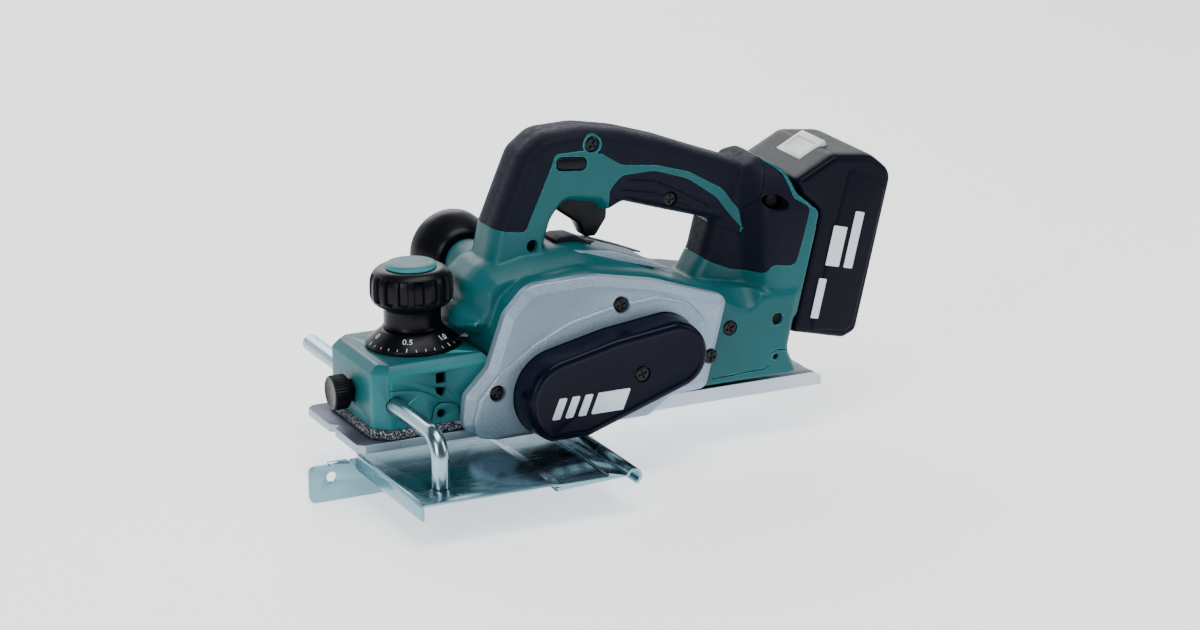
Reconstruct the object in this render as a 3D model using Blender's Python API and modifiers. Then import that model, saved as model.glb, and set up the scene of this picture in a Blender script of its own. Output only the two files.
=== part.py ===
"""Cordless electric hand planer with its edge fence, as separate solids.

The front of the planer is towards -X, its belt side towards -Y, and +Z is up.
The origin lies on the rear sole, at mid width, just behind the cutter drum.
"""
import math

import bmesh
import bpy
from mathutils import Matrix, Vector

MM = 0.001                     # outlines below are written in millimetres
GAP = 0.3                      # clearance between neighbouring solids

# Sole and cutter
HALF_WIDTH = 41.0              # the shoes are 82 wide
FRONT_END = -150.0
REAR_END = 140.0
SHOE_THICKNESS = 5.0
DEPTH_AT_REST = 1.5            # the dial stands at 1.5
SHOE_REAR = -53.0
BASE_FRONT = -15.5
DRUM_X = -34.0
DRUM_Z = 24.1                  # also the radius of the cutting circle
DRUM_RADIUS = 22.0
SHAFT_RADIUS = 6.0

# Drive
MOTOR_X = 32.0
MOTOR_Z = 41.0
DRUM_PULLEY_RADIUS = 16.0
MOTOR_PULLEY_RADIUS = 10.0
BELT_THICKNESS = 2.4
COVER_FACE_Y = -72.0           # outer face of the belt cover
SIDE_COVER_Y = -50.0           # outer face of the silver side cover

# Depth knob and fence
KNOB_X = -99.4
BRACKET_FRONT = -137.5
BRACKET_TOP = 48.3
BRACKET_HALF_WIDTH = 38.0
NOZZLE_X = -48.0
NOZZLE_Z = 79.0
DUCT_Y = 12.0
DUCT_RADIUS = 10.0
ROD_X = -126.0
ROD_Z = 26.0
ROD_RADIUS = 5.0
ROD_OUTER_Y = -101.0           # where the rod turns down
ROD_FAR_Y = 94.0
PLATE_TOP = -2.0               # top of the fence's plate
SHEET = 1.6                    # thickness of the fence's sheet
JOGGLE = 1.3                   # the plate's step down, halfway along
FENCE_NEAR_Y = -123.5
FENCE_FACE_Y = -27.0

# Battery, in a frame that leans back with it
BATTERY_TILT = math.radians(14.0)
BATTERY_FOOT = (130.6, 63.8)   # a point of the plane between body and battery
BATTERY_HALF_WIDTH = 37.5
BUTTON_CENTRE = (72.2, -0.2)   # the release button, as up and out in that frame
BUTTON_HALF_WIDTH = 14.5

SCREW_RADIUS = 4.1
SHANK_RADIUS = 1.7
# each screw's x and z, the y of its head's top, the head's thickness and the whole length
SCREWS = {
    "cover_top": (7.5, 69.5, -50.4, 1.4, 5.4),
    "cover_front": (-70.0, 28.7, -50.4, 1.4, 5.4),
    "cover_rear": (63.9, 30.5, -50.4, 1.4, 5.4),
    "belt_cover": (10.5, 34.0, -71.2, 2.4, 12.0),
    "handle_front": (5.9, 155.4, -17.0, 2.2, 7.0),
    "handle_rear": (54.5, 117.2, -16.6, 2.2, 5.6),
    "body": (80.7, 42.6, -41.0, 1.4, 5.0),
}

COLOURS = {
    "teal": ((0.016, 0.27, 0.29), 0.42, 0.0),
    "rubber": ((0.012, 0.014, 0.028), 0.62, 0.0),
    "black": ((0.008, 0.009, 0.016), 0.22, 0.0),
    "silver": ((0.55, 0.62, 0.68), 0.35, 0.6),
    "aluminium": ((0.62, 0.64, 0.66), 0.38, 1.0),
    "zinc": ((0.55, 0.62, 0.66), 0.22, 1.0),
    "steel": ((0.45, 0.46, 0.48), 0.3, 1.0),
    "copper": ((0.7, 0.3, 0.12), 0.4, 1.0),
    "foam": ((0.03, 0.03, 0.035), 0.95, 0.0),
    "cells": ((0.1, 0.25, 0.5), 0.5, 0.0),
    "grey": ((0.72, 0.74, 0.74), 0.45, 0.0),
    "screw": ((0.02, 0.02, 0.024), 0.35, 0.8),
}


# ---------------------------------------------------------------- helpers

def fresh_collection(name):
    collection = bpy.data.collections.new(name)
    bpy.context.scene.collection.children.link(collection)
    return collection


for old in list(bpy.data.objects):
    bpy.data.objects.remove(old, do_unlink=True)
PARTS = fresh_collection("hand_planer")
CUTTERS = fresh_collection("cutters")
MATERIALS = {}


def material(slot):
    if slot not in MATERIALS:
        colour, roughness, metallic = COLOURS[slot]
        made = bpy.data.materials.new(slot)
        made.use_nodes = True
        shader = made.node_tree.nodes["Principled BSDF"]
        shader.inputs["Base Color"].default_value = (*colour, 1.0)
        shader.inputs["Roughness"].default_value = roughness
        shader.inputs["Metallic"].default_value = metallic
        MATERIALS[slot] = made
    return MATERIALS[slot]


def put(name, mesh, slot=None):
    """Link a mesh as a part, or as a hidden cutter when it has no slot."""
    piece = bpy.data.objects.new(name, mesh)
    if slot is None:
        CUTTERS.objects.link(piece)
        piece.hide_render = True
        piece.display_type = 'WIRE'
        return piece
    PARTS.objects.link(piece)
    mesh.materials.clear()
    mesh.materials.append(material(slot))
    return piece


def rounded(corners, steps=3):
    """Turn corners (x, z) or (x, z, radius) into an outline with arcs."""
    outline = []
    count = len(corners)
    for index, corner in enumerate(corners):
        here = Vector(corner[:2])
        radius = corner[2] if len(corner) > 2 else 0.0
        if radius <= 0.0:
            outline.append(tuple(here))
            continue
        back = (Vector(corners[index - 1][:2]) - here).normalized()
        ahead = (Vector(corners[(index + 1) % count][:2]) - here).normalized()
        half = back.angle(ahead) / 2.0
        reach = radius / math.tan(half)
        centre = here + (back + ahead).normalized() * radius / math.sin(half)
        start = here + back * reach - centre
        sweep = math.pi - 2.0 * half
        turn = 1.0 if back.x * ahead.y - back.y * ahead.x < 0.0 else -1.0
        for step in range(steps + 1):
            angle = turn * sweep * step / steps
            outline.append((centre.x + start.x * math.cos(angle) - start.y * math.sin(angle),
                            centre.y + start.x * math.sin(angle) + start.y * math.cos(angle)))
    return outline


def circle(x, z, radius, count=24):
    turn = 2.0 * math.pi / count
    return [(x + radius * math.cos(turn * k), z + radius * math.sin(turn * k)) for k in range(count)]


def hull(points):
    """Convex outline round a set of points."""
    points = sorted(set((round(x, 5), round(z, 5)) for x, z in points))

    def chain(ordered):
        kept = []
        for point in ordered:
            while len(kept) > 1:
                (ax, az), (bx, bz) = kept[-2], kept[-1]
                if (bx - ax) * (point[1] - az) - (bz - az) * (point[0] - ax) > 1e-6:
                    break
                kept.pop()
            kept.append(point)
        return kept[:-1]
    return chain(points) + chain(points[::-1])


def flat_mesh(name, outline, low, high):
    """A flat outline as a filled 2D curve, extruded and made a mesh with welded caps."""
    low, high = sorted((low, high))
    curve = bpy.data.curves.new(name, 'CURVE')
    curve.dimensions = '2D'
    curve.fill_mode = 'BOTH'
    curve.extrude = (high - low) / 2.0 * MM
    spline = curve.splines.new('POLY')
    spline.points.add(len(outline) - 1)
    for point, (a, b) in zip(spline.points, outline):
        point.co = (a * MM, b * MM, 0.0, 1.0)
    spline.use_cyclic_u = True
    holder = bpy.data.objects.new(name, curve)
    bpy.context.scene.collection.objects.link(holder)
    mesh = bpy.data.meshes.new_from_object(holder.evaluated_get(bpy.context.evaluated_depsgraph_get()))
    bpy.data.objects.remove(holder, do_unlink=True)
    bpy.data.curves.remove(curve)
    tidy = bmesh.new()
    tidy.from_mesh(mesh)
    bmesh.ops.remove_doubles(tidy, verts=tidy.verts, dist=1e-6)
    bmesh.ops.dissolve_limit(tidy, angle_limit=math.radians(0.5), verts=tidy.verts, edges=tidy.edges)
    bmesh.ops.recalc_face_normals(tidy, faces=tidy.faces)
    bmesh.ops.translate(tidy, verts=tidy.verts, vec=(0.0, 0.0, (low + high) / 2.0 * MM))
    tidy.to_mesh(mesh)
    tidy.free()
    return mesh


def side_plate(name, outline, y_low, y_high, slot=None):
    """An outline in the side view (x, z), from one y to another."""
    mesh = flat_mesh(name, outline, -y_high, -y_low)
    mesh.transform(Matrix.Rotation(math.radians(90.0), 4, 'X'))
    return put(name, mesh, slot)


def top_plate(name, outline, z_low, z_high, slot=None):
    """An outline in the top view (x, y), from one height to another."""
    return put(name, flat_mesh(name, outline, z_low, z_high), slot)


def box(name, low, high, slot=None):
    outline = [(low[0], low[1]), (high[0], low[1]), (high[0], high[1]), (low[0], high[1])]
    return top_plate(name, outline, low[2], high[2], slot)


def bar(name, start, end, radius, slot=None, count=24, tip_radius=None):
    """A round bar or cone from one point to another."""
    start, end = Vector(start) * MM, Vector(end) * MM
    shape = bmesh.new()
    bmesh.ops.create_cone(shape, cap_ends=True, segments=count, radius1=radius * MM,
                          radius2=(radius if tip_radius is None else tip_radius) * MM,
                          depth=(end - start).length)
    mesh = bpy.data.meshes.new(name)
    shape.to_mesh(mesh)
    shape.free()
    piece = put(name, mesh, slot)
    piece.location = (start + end) / 2.0
    piece.rotation_euler = (end - start).to_track_quat('Z', 'Y').to_euler()
    smooth(piece)
    return piece


def turned(name, profile, origin, slot=None, axis='Z', count=32):
    """A turned solid: its profile (radius, height) runs down the outer side."""
    mesh = bpy.data.meshes.new(name)
    closed = profile[0] == profile[-1]
    if closed:
        profile = profile[:-1]
    vertices = [(radius * MM, 0.0, height * MM) for radius, height in profile]
    last = len(vertices)
    edges = [(k, (k + 1) % last) for k in range(last if closed else last - 1)]
    mesh.from_pydata(vertices, edges, [])
    piece = put(name, mesh, slot)
    screw = piece.modifiers.new("turn", 'SCREW')
    screw.steps = count
    screw.render_steps = count
    screw.use_merge_vertices = True
    screw.merge_threshold = 1e-6
    piece.location = Vector(origin) * MM
    if axis == 'Y':
        piece.rotation_euler = (math.radians(-90.0), 0.0, 0.0)
    return piece


def smooth(piece, angle=32.0):
    piece.data.shade_smooth()
    piece.data.set_sharp_from_angle(angle=math.radians(angle))


def bevel(piece, width, segments=2, angle=40.0):
    edge = piece.modifiers.new("bevel", 'BEVEL')
    edge.width = width * MM
    edge.segments = segments
    edge.limit_method = 'ANGLE'
    edge.angle_limit = math.radians(angle)
    edge.use_clamp_overlap = True


def join(piece, *others):
    for other in others:
        change = piece.modifiers.new("join", 'BOOLEAN')
        change.operation = 'UNION'
        change.object = other


def cut(piece, *cutters):
    for cutter in cutters:
        change = piece.modifiers.new("cut", 'BOOLEAN')
        change.operation = 'DIFFERENCE'
        change.object = cutter


def keep_inside(piece, other):
    change = piece.modifiers.new("keep", 'BOOLEAN')
    change.operation = 'INTERSECT'
    change.object = other


def battery_point(up, out):
    """A side-view point from its place along the battery and away from the body."""
    x = BATTERY_FOOT[0] + up * math.sin(BATTERY_TILT) + out * math.cos(BATTERY_TILT)
    z = BATTERY_FOOT[1] + up * math.cos(BATTERY_TILT) - out * math.sin(BATTERY_TILT)
    return (x, z)


def battery_outline(corners, steps=3):
    return rounded([(*battery_point(up, out), *rest) for up, out, *rest in corners], steps)


# ---------------------------------------------------------------- screws

def screw_hole(piece, name):
    """A seat for a screw's head and a bore for its shank, both open to the left."""
    x, z, y, head, length = SCREWS[name]
    cut(piece, bar(f"seat_{name}_{piece.name}", (x, y - 20.0, z), (x, y + head + GAP, z), SCREW_RADIUS + GAP, count=16),
        bar(f"bore_{name}_{piece.name}", (x, y + head, z), (x, y + length + GAP, z), SHANK_RADIUS + GAP, count=12))


def make_screws():
    for name, (x, z, y, head, length) in SCREWS.items():
        piece = bar(f"screw_{name}", (x, y, z), (x, y + head, z), SCREW_RADIUS, "screw", 16)
        join(piece, bar(f"shank_{name}", (x, y + head * 0.5, z), (x, y + length, z), SHANK_RADIUS, count=10))


# ---------------------------------------------------------------- sole

def make_front_shoe():
    low = DEPTH_AT_REST
    high = low + SHOE_THICKNESS
    outline = [(SHOE_REAR, -HALF_WIDTH), (SHOE_REAR, HALF_WIDTH),
               (FRONT_END + 4.0, HALF_WIDTH), (FRONT_END, HALF_WIDTH - 4.0),
               (FRONT_END, -HALF_WIDTH + 4.0), (FRONT_END + 4.0, -HALF_WIDTH)]
    shoe = top_plate("front_shoe", outline, low, high, "aluminium")
    boss = bar("shoe_boss", (KNOB_X, 0, high - 1.0), (KNOB_X, 0, 24.0), 9.0)
    bore = bar("shoe_bore", (KNOB_X, 0, 8.5), (KNOB_X, 0, 30.0), 4.3)
    groove = bar("v_groove", (FRONT_END - 5.0, 0, low), (SHOE_REAR + 5.0, 0, low), 2.2, count=4)
    join(shoe, boss)
    cut(shoe, bore, groove)


def make_rear_base():
    wall = HALF_WIDTH - 5.0
    outline = [(BASE_FRONT, -HALF_WIDTH), (REAR_END, -HALF_WIDTH),
               (REAR_END, HALF_WIDTH), (BASE_FRONT, HALF_WIDTH)]
    base = top_plate("rear_base", outline, 0.0, 8.0, "aluminium")
    hollow = box("base_hollow", (BASE_FRONT + 8.0, -wall, 4.5), (REAR_END + 5.0, wall, 12.0))
    rear_slope = side_plate("base_slope", [(REAR_END - 6.0, 9.0), (REAR_END + 3.0, 9.0), (REAR_END + 3.0, 3.5)],
                            -60.0, 60.0)
    cheek_outline = rounded([(-79.0, 10.5, 4.0), (-76.0, 28.0, 6.0), (-58.0, 52.0, 8.0), (0.0, 59.0, 20.0),
                             (58.0, 56.0, 6.0), (56.0, 16.0, 2.0), (41.5, 15.0, 2.0),
                             (36.0, 9.0), (36.0, 1.0), (-12.0, 1.0, 2.0), (-20.0, 10.5, 2.0)], 2)
    for side, tag in ((-1.0, "left"), (1.0, "right")):
        inner = side * (HALF_WIDTH + GAP)
        outer = side * (HALF_WIDTH + 3.3)
        cheek = side_plate(f"cheek_{tag}", cheek_outline, min(inner, outer), max(inner, outer))
        boss = bar(f"boss_{tag}", (DRUM_X, inner, DRUM_Z), (DRUM_X, side * 47.3, DRUM_Z), 14.0)
        root = box(f"cheek_root_{tag}", (BASE_FRONT + 0.5, min(side * 38.0, outer), 1.0),
                   (36.0, max(side * 38.0, outer), 8.0))
        join(base, cheek, boss, root)
        cut(base, bar(f"seat_{tag}", (DRUM_X, side * 38.0, DRUM_Z), (DRUM_X, side * 50.0, DRUM_Z), 11.3))
        cut(base, bar(f"motor_hole_{tag}", (MOTOR_X, side * 40.0, MOTOR_Z), (MOTOR_X, side * 48.0, MOTOR_Z), 11.0))
    throat = bar("throat", (DRUM_X, -HALF_WIDTH - 0.1, DRUM_Z), (DRUM_X, HALF_WIDTH + 0.1, DRUM_Z), 25.6, count=48)
    slot = box("foot_slot", (114.0, 26.0, -2.0), (138.0, 33.0, 6.0))
    cut(base, hollow, rear_slope, throat, slot)


def make_rest_foot():
    foot = side_plate("rest_foot", rounded([(119.0, 12.0, 2.0), (119.0, 0.6, 0.5), (136.5, 0.6, 1.0),
                                            (137.0, 3.5, 1.0), (127.0, 12.0, 2.0)], 2),
                      26.6, 32.4, "black")
    smooth(foot)


# ---------------------------------------------------------------- cutter drum and drive

def make_drum():
    profile = [(0.0, 69.6), (5.0, 69.6), (5.0, 48.6), (SHAFT_RADIUS - 0.3, 48.6), (SHAFT_RADIUS - 0.3, 40.7),
               (DRUM_RADIUS, 40.7), (DRUM_RADIUS, -40.7), (SHAFT_RADIUS - 0.3, -40.7),
               (SHAFT_RADIUS - 0.3, -47.0), (0.0, -47.0)]
    flipped = [(radius, -height) for radius, height in reversed(profile)]
    drum = turned("cutter_drum", flipped, (DRUM_X, 0, DRUM_Z), "steel", axis='Y', count=28)
    for side, tag in ((1.0, "a"), (-1.0, "b")):
        # each blade sits in a slot across the drum, with its clamp in front of it
        slot = box(f"blade_slot_{tag}", (-1.8, -60.0, side * 14.0), (8.3, 60.0, side * 24.0))
        slot_turned(slot)
        cut(drum, slot)
        blade = box(f"blade_{tag}", (-1.5, -40.4, side * 14.4), (-0.3, 40.4, side * 24.05), "steel")
        slot_turned(blade)
        clamp = box(f"blade_clamp_{tag}", (0.3, -40.4, side * 14.4), (8.0, 40.4, side * 20.3), "steel")
        slot_turned(clamp)


def slot_turned(piece):
    """Place a piece made about the drum's axis, tipped so that neither blade points straight down."""
    piece.location = Vector((DRUM_X, 0.0, DRUM_Z)) * MM
    piece.rotation_euler = (0.0, math.radians(40.0), 0.0)


def ring(name, x, z, inner, outer, y_low, y_high, slot, count=24):
    """A ring about an axis along Y, such as a bearing."""
    profile = [(inner, y_high), (outer, y_high), (outer, y_low), (inner, y_low), (inner, y_high)]
    piece = turned(name, profile, (x, 0, z), slot, axis='Y', count=count)
    return piece


def make_bearings():
    for side, tag in ((-1.0, "left"), (1.0, "right")):
        ends = sorted((side * 41.3, side * 47.0))
        ring(f"drum_bearing_{tag}", DRUM_X, DRUM_Z, SHAFT_RADIUS, 11.0, ends[0], ends[1], "steel")
        ends = sorted((side * 36.0, side * 40.7))
        ring(f"motor_bearing_{tag}", MOTOR_X, MOTOR_Z, 4.3, 8.5, ends[0], ends[1], "steel", 20)


def pulley(name, x, z, radius, bore):
    profile = [(bore, -55.0), (radius + 1.5, -55.0), (radius + 1.5, -56.2), (radius, -56.6), (radius, -65.4),
               (radius + 1.5, -65.8), (radius + 1.5, -67.0), (bore, -67.0), (bore, -55.0)]
    return turned(name, profile, (x, 0, z), "steel", axis='Y', count=28)


def make_drive():
    pulley("drum_pulley", DRUM_X, DRUM_Z, DRUM_PULLEY_RADIUS, 5.3)
    pulley("motor_pulley", MOTOR_X, MOTOR_Z, MOTOR_PULLEY_RADIUS, 4.3)
    inner = hull(circle(DRUM_X, DRUM_Z, DRUM_PULLEY_RADIUS + 0.5, 40)
                 + circle(MOTOR_X, MOTOR_Z, MOTOR_PULLEY_RADIUS + 0.5, 40))
    reach = 0.5 + BELT_THICKNESS
    outer = hull(circle(DRUM_X, DRUM_Z, DRUM_PULLEY_RADIUS + reach, 40)
                 + circle(MOTOR_X, MOTOR_Z, MOTOR_PULLEY_RADIUS + reach, 40))
    belt = side_plate("drive_belt", outer, -65.0, -57.0, "rubber")
    cut(belt, side_plate("belt_inside", inner, -70.0, -50.0))


def make_motor():
    can = bar("motor_can", (MOTOR_X, -28.0, MOTOR_Z), (MOTOR_X, 24.0, MOTOR_Z), 20.0, "steel", 28)
    cut(can, bar("motor_bore", (MOTOR_X, -35.0, MOTOR_Z), (MOTOR_X, 35.0, MOTOR_Z), 16.0, count=28))
    rotor_profile = [(0.0, 40.6), (4.0, 40.6), (4.0, 22.0), (15.0, 22.0), (15.0, -22.0), (8.0, -22.0),
                     (8.0, -31.0), (4.0, -31.0), (4.0, -69.0), (0.0, -69.0)]
    turned("motor_rotor", rotor_profile, (MOTOR_X, 0, MOTOR_Z), "copper", axis='Y', count=28)
    fan = ring("motor_fan", MOTOR_X, MOTOR_Z, 4.3, 7.0, 26.0, 34.0, "black", 20)
    plate = ring("fan_plate", MOTOR_X, MOTOR_Z, 4.3, 19.0, 26.0, 27.6, None, 28)
    join(fan, plate)
    for blade in range(8):
        vane = box(f"fan_vane_{blade}", (6.0, 27.0, -0.8), (18.6, 34.0, 0.8))
        vane.location = Vector((MOTOR_X, 0.0, MOTOR_Z)) * MM
        vane.rotation_euler = (0.0, math.radians(45.0 * blade), 0.0)
        join(fan, vane)


# ---------------------------------------------------------------- covers

def side_cover_outline(inset=0.0):
    i = inset
    return rounded([(-73.0, 0.7 + i, 6.0), (-89.5 + i, 8.0 + i, 8.0), (-87.5 + i, 28.0, 6.0),
                    (-73.5 + i, 42.0, 8.0), (-62.5 + i, 72.0, 10.0), (-48.0 + i, 87.0 - i, 14.0),
                    (-8.0, 87.8 - i, 60.0), (30.0, 80.0 - i, 60.0), (76.5 - i, 64.0 - i, 4.0),
                    (62.5 - i, 10.8 + i, 4.0), (40.0, 9.3 + i, 6.0), (26.0, 0.7 + i, 6.0)], 3)


def belt_outline(inset=0.0):
    lower = 0.7 + inset
    ring_points = circle(DRUM_X, DRUM_Z, 26.4 - inset, 36) + circle(MOTOR_X, MOTOR_Z, 20.8 - inset, 30)
    crown = [(x, z) for x, z in circle(2.0, 12.0, 46.0 - inset, 48) if z > 44.0 and -24.0 < x < 28.0]
    return hull([(x, max(z, lower)) for x, z in ring_points] + crown)


def make_side_cover():
    cover = side_plate("side_cover", side_cover_outline(), SIDE_COVER_Y, -HALF_WIDTH - GAP, "silver")
    bevel(cover, 1.2, 1, 60.0)
    hollow = side_plate("side_cover_hollow", side_cover_outline(2.6), SIDE_COVER_Y + 2.2, -30.0)
    # the cheek and its root come out under the cover at the sole
    root_room = box("root_room", (-20.0, -44.7, -1.0), (42.0, -40.0, 13.0))
    drum_hole = bar("cover_drum_hole", (DRUM_X, -40.0, DRUM_Z), (DRUM_X, -55.0, DRUM_Z), 8.0)
    motor_hole = bar("cover_motor_hole", (MOTOR_X, -40.0, MOTOR_Z), (MOTOR_X, -55.0, MOTOR_Z), 8.0)
    cut(cover, hollow, root_room, drum_hole, motor_hole)
    for screw_name in ("cover_top", "cover_front", "cover_rear"):
        screw_hole(cover, screw_name)
    smooth(cover)


def make_belt_cover():
    cover = side_plate("belt_cover", belt_outline(), COVER_FACE_Y, SIDE_COVER_Y - GAP, "black")
    bevel(cover, 1.6, 1, 60.0)
    cut(cover, side_plate("belt_cover_hollow", belt_outline(2.2), COVER_FACE_Y + 2.0, -40.0))
    x, z = SCREWS["belt_cover"][:2]
    join(cover, bar("cover_pillar", (x, -71.0, z), (x, SIDE_COVER_Y - GAP, z), 6.0))
    screw_hole(cover, "belt_cover")
    smooth(cover)


def make_bearing_box():
    outline = rounded([(-83.0, 9.3, 5.0), (-80.0, 30.0, 8.0), (-60.0, 56.0, 10.0),
                       (0.0, 63.0, 20.0), (62.5, 60.0, 6.0), (59.5, 9.3, 3.0)], 3)
    cover = side_plate("bearing_box", outline, HALF_WIDTH + GAP, 50.0, "silver")
    bevel(cover, 1.4, 2, 60.0)
    cut(cover, box("bearing_box_hollow", (-120.0, 30.0, -5.0), (120.0, 44.7, 120.0)))
    cut(cover, bar("bearing_box_seat", (DRUM_X, 40.0, DRUM_Z), (DRUM_X, 47.7, DRUM_Z), 14.4))
    smooth(cover)


# ---------------------------------------------------------------- body

BODY = [(-66.2, 12.0), (-66.2, 51.4, 3.0), (-81.5, 59.4, 3.0), (-80.0, 68.0, 3.0), (-73.2, 72.5, 3.0),
        (-73.0, 84.0, 6.5), (-63.0, 92.5, 8.0), (-40.0, 97.5, 14.0), (-2.0, 97.4, 30.0), (40.0, 82.5, 60.0),
        (66.0, 66.0, 10.0), (90.0, 60.0), (90.0, 12.0)]
SPINE_ROOM = [(-62.0, 50.0), (-62.0, 88.0, 6.0), (-40.0, 93.5, 14.0), (-3.0, 94.0, 30.0), (38.0, 79.5, 60.0),
              (64.0, 63.0, 8.0), (86.0, 57.0), (86.0, 40.0)]
WIDE = [(-66.0, 9.4), (-65.5, 62.0, 12.0), (-58.0, 82.0, 14.0), (-40.0, 92.5, 18.0),
        (-8.0, 94.0, 40.0), (34.0, 82.5, 60.0), (66.0, 66.0, 12.0), (100.0, 60.2), (129.4, 60.0),
        (120.4, 23.6, 10.0), (127.0, 9.4)]
COLUMN = [(64.0, 45.0), (65.5, 66.0, 4.0), (74.0, 80.0, 4.0), (79.0, 99.0, 5.0), (84.0, 112.0, 4.0),
          (92.0, 134.0, 4.0), (99.0, 134.5, 4.0), (113.0, 134.0, 5.0), (122.5, 129.0, 5.0), (127.0, 115.5, 5.0),
          (140.2, 103.6, 4.0), (124.9, 42.4, 4.0)]
HANDLE = [(-60.0, 86.0), (-53.8, 111.0, 20.0), (-45.0, 131.5, 30.0), (-35.5, 153.0, 14.0),
          (-22.0, 163.5, 16.0), (4.0, 164.6, 30.0), (28.0, 159.4, 60.0), (54.0, 151.0, 60.0),
          (80.0, 140.5, 60.0), (98.0, 131.5), (98.0, 101.0), (80.0, 101.0), (50.0, 110.5, 30.0),
          (27.0, 118.0, 6.0), (16.0, 113.0, 5.0), (9.0, 119.5, 3.0), (-10.0, 123.0, 6.0), (-18.0, 113.0, 12.0),
          (-22.5, 99.0, 6.0), (-16.0, 86.0)]
GRIP = [(120.0, 124.0), (98.0, 108.0), (86.0, 120.5, 20.0), (66.0, 132.0, 20.0), (46.0, 138.0, 20.0),
        (24.0, 141.0, 6.0), (8.0, 149.0, 6.0), (-16.0, 147.0, 10.0), (-26.0, 132.0, 20.0), (-36.5, 110.5, 4.0),
        (-70.0, 121.5), (-70.0, 180.0), (120.0, 180.0)]
PAD = [(21.0, 112.0), (16.5, 126.0, 5.0), (22.0, 134.0, 6.0), (45.0, 134.5, 14.0), (66.0, 127.5, 14.0),
       (78.0, 117.0, 10.0), (80.0, 90.0), (50.0, 90.0)]
COLLAR = [(50.0, 76.0), (84.0, 74.5, 6.0), (104.0, 73.0, 4.0), (109.0, 76.0, 4.0), (122.5, 73.8, 6.0),
          (132.8, 106.5, 4.0), (121.5, 113.0, 4.0), (117.0, 127.0, 5.0), (104.0, 129.0, 4.0), (88.0, 150.0),
          (50.0, 150.0)]
OVERMOULD = 2.4                # how deep the soft layer lies in the body
LOCK = [(-16.5, 142.8, 3.4), (2.2, 140.8, 3.4), (2.2, 148.4, 3.4), (-16.5, 150.6, 3.4)]


def grown(outline, amount, flat_below=None):
    """Move an outline's edges outwards by an amount, or inwards when it is negative."""
    area = sum(a[0] * b[1] - b[0] * a[1] for a, b in zip(outline, outline[1:] + outline[:1]))
    sign = 1.0 if area > 0.0 else -1.0
    moved = []
    for index, here in enumerate(outline):
        before = Vector(here) - Vector(outline[index - 1])
        after = Vector(outline[(index + 1) % len(outline)]) - Vector(here)
        first = Vector((before.y, -before.x)).normalized() * sign
        second = Vector((after.y, -after.x)).normalized() * sign
        bisector = first + second
        scale = 2.0 / max(bisector.length_squared, 0.8)
        x, z = Vector(here) + bisector * amount * scale
        if flat_below is not None and here[1] < flat_below:
            z = here[1]
        moved.append((x, z))
    return moved


def crowned(name, outline, levels, side, slot=None, flat_below=None):
    """A plate whose outline draws in towards one side: levels are (y, how far it draws in)."""
    shape = bmesh.new()
    rings = []
    for y, inset in levels:
        ring_points = grown(outline, -inset, flat_below)
        rings.append([shape.verts.new((x * MM, side * y * MM, z * MM)) for x, z in ring_points])
    for lower, upper in zip(rings, rings[1:]):
        for index in range(len(lower)):
            shape.faces.new((lower[index - 1], lower[index], upper[index], upper[index - 1]))
    shape.faces.new(rings[0])
    shape.faces.new(rings[-1])
    bmesh.ops.recalc_face_normals(shape, faces=shape.faces)
    mesh = bpy.data.meshes.new(name)
    shape.to_mesh(mesh)
    shape.free()
    return put(name, mesh, slot)


def half_plate(name, outline, side, slot=None, inner=-1.0, outer=60.0):
    """A side-view plate from just past the middle plane out to one side."""
    ends = sorted((side * inner, side * outer))
    return side_plate(name, outline, ends[0], ends[1], slot)


def handle_block(name, side, inset, slot=None, middle=0.15):
    outline = grown(rounded(HANDLE, 2), -inset)
    levels = [(middle, 0.0), (13.0 - inset, 0.0), (16.2 - inset, 1.0), (17.5 - inset, 2.4)]
    return crowned(name, outline, levels, side, slot)


def column_block(name, side, inset, slot=None, middle=0.15):
    """The body's rear column: its side view, narrowed towards the handle in the top view."""
    outline = grown(rounded(COLUMN, 2), -inset)
    block = crowned(name, outline, [(middle, 0.0), (60.0, 0.0)], side, slot)
    plan = rounded([(50.0, -2.0), (50.0, 20.0 - inset), (84.0, 21.5 - inset, 20.0), (104.0, 38.5 - inset, 14.0),
                    (146.0, 38.5 - inset), (146.0, -2.0)], 2)
    plan = [(x, side * y) for x, y in plan]
    keep_inside(block, top_plate(f"{name}_plan", plan if side < 0.0 else plan[::-1], 30.0, 160.0))
    return block


def make_soft_layers(side, tag):
    grip = handle_block(f"grip_{tag}", side, 0.0, "rubber")
    keep_inside(grip, half_plate(f"grip_area_{tag}", grown(rounded(GRIP, 2), -GAP), side))
    keep_inside(grip, half_plate(f"grip_end_{tag}", [(-70.0, 80.0), (88.0, 80.0), (88.0, 180.0), (-70.0, 180.0)],
                                 side))
    cut(grip, handle_block(f"grip_core_{tag}", side, OVERMOULD - GAP, middle=-1.0),
        column_block(f"grip_stop_{tag}", side, -GAP, middle=-1.0),
        half_plate(f"grip_lock_hole_{tag}", grown(rounded(LOCK, 3), GAP), side))
    pad = handle_block(f"pad_{tag}", side, 0.0, "rubber")
    keep_inside(pad, half_plate(f"pad_area_{tag}", grown(rounded(PAD, 2), -GAP), side))
    cut(pad, handle_block(f"pad_core_{tag}", side, OVERMOULD - GAP, middle=-1.0))
    cut(pad, half_plate(f"pad_middle_{tag}", [(-60.0, 80.0), (120.0, 80.0), (120.0, 170.0), (-60.0, 170.0)],
                        side, outer=8.2))
    if side < 0.0:
        screw_hole(grip, "handle_front")
        screw_hole(pad, "handle_rear")
    collar = column_block(f"collar_{tag}", side, 0.0, "rubber")
    keep_inside(collar, half_plate(f"collar_area_{tag}", grown(rounded(COLLAR, 2), -GAP), side))
    cut(collar, column_block(f"collar_core_{tag}", side, OVERMOULD - GAP, middle=-1.0))
    cut(collar, handle_block(f"collar_handle_{tag}", side, -GAP, middle=-1.0))


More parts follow.
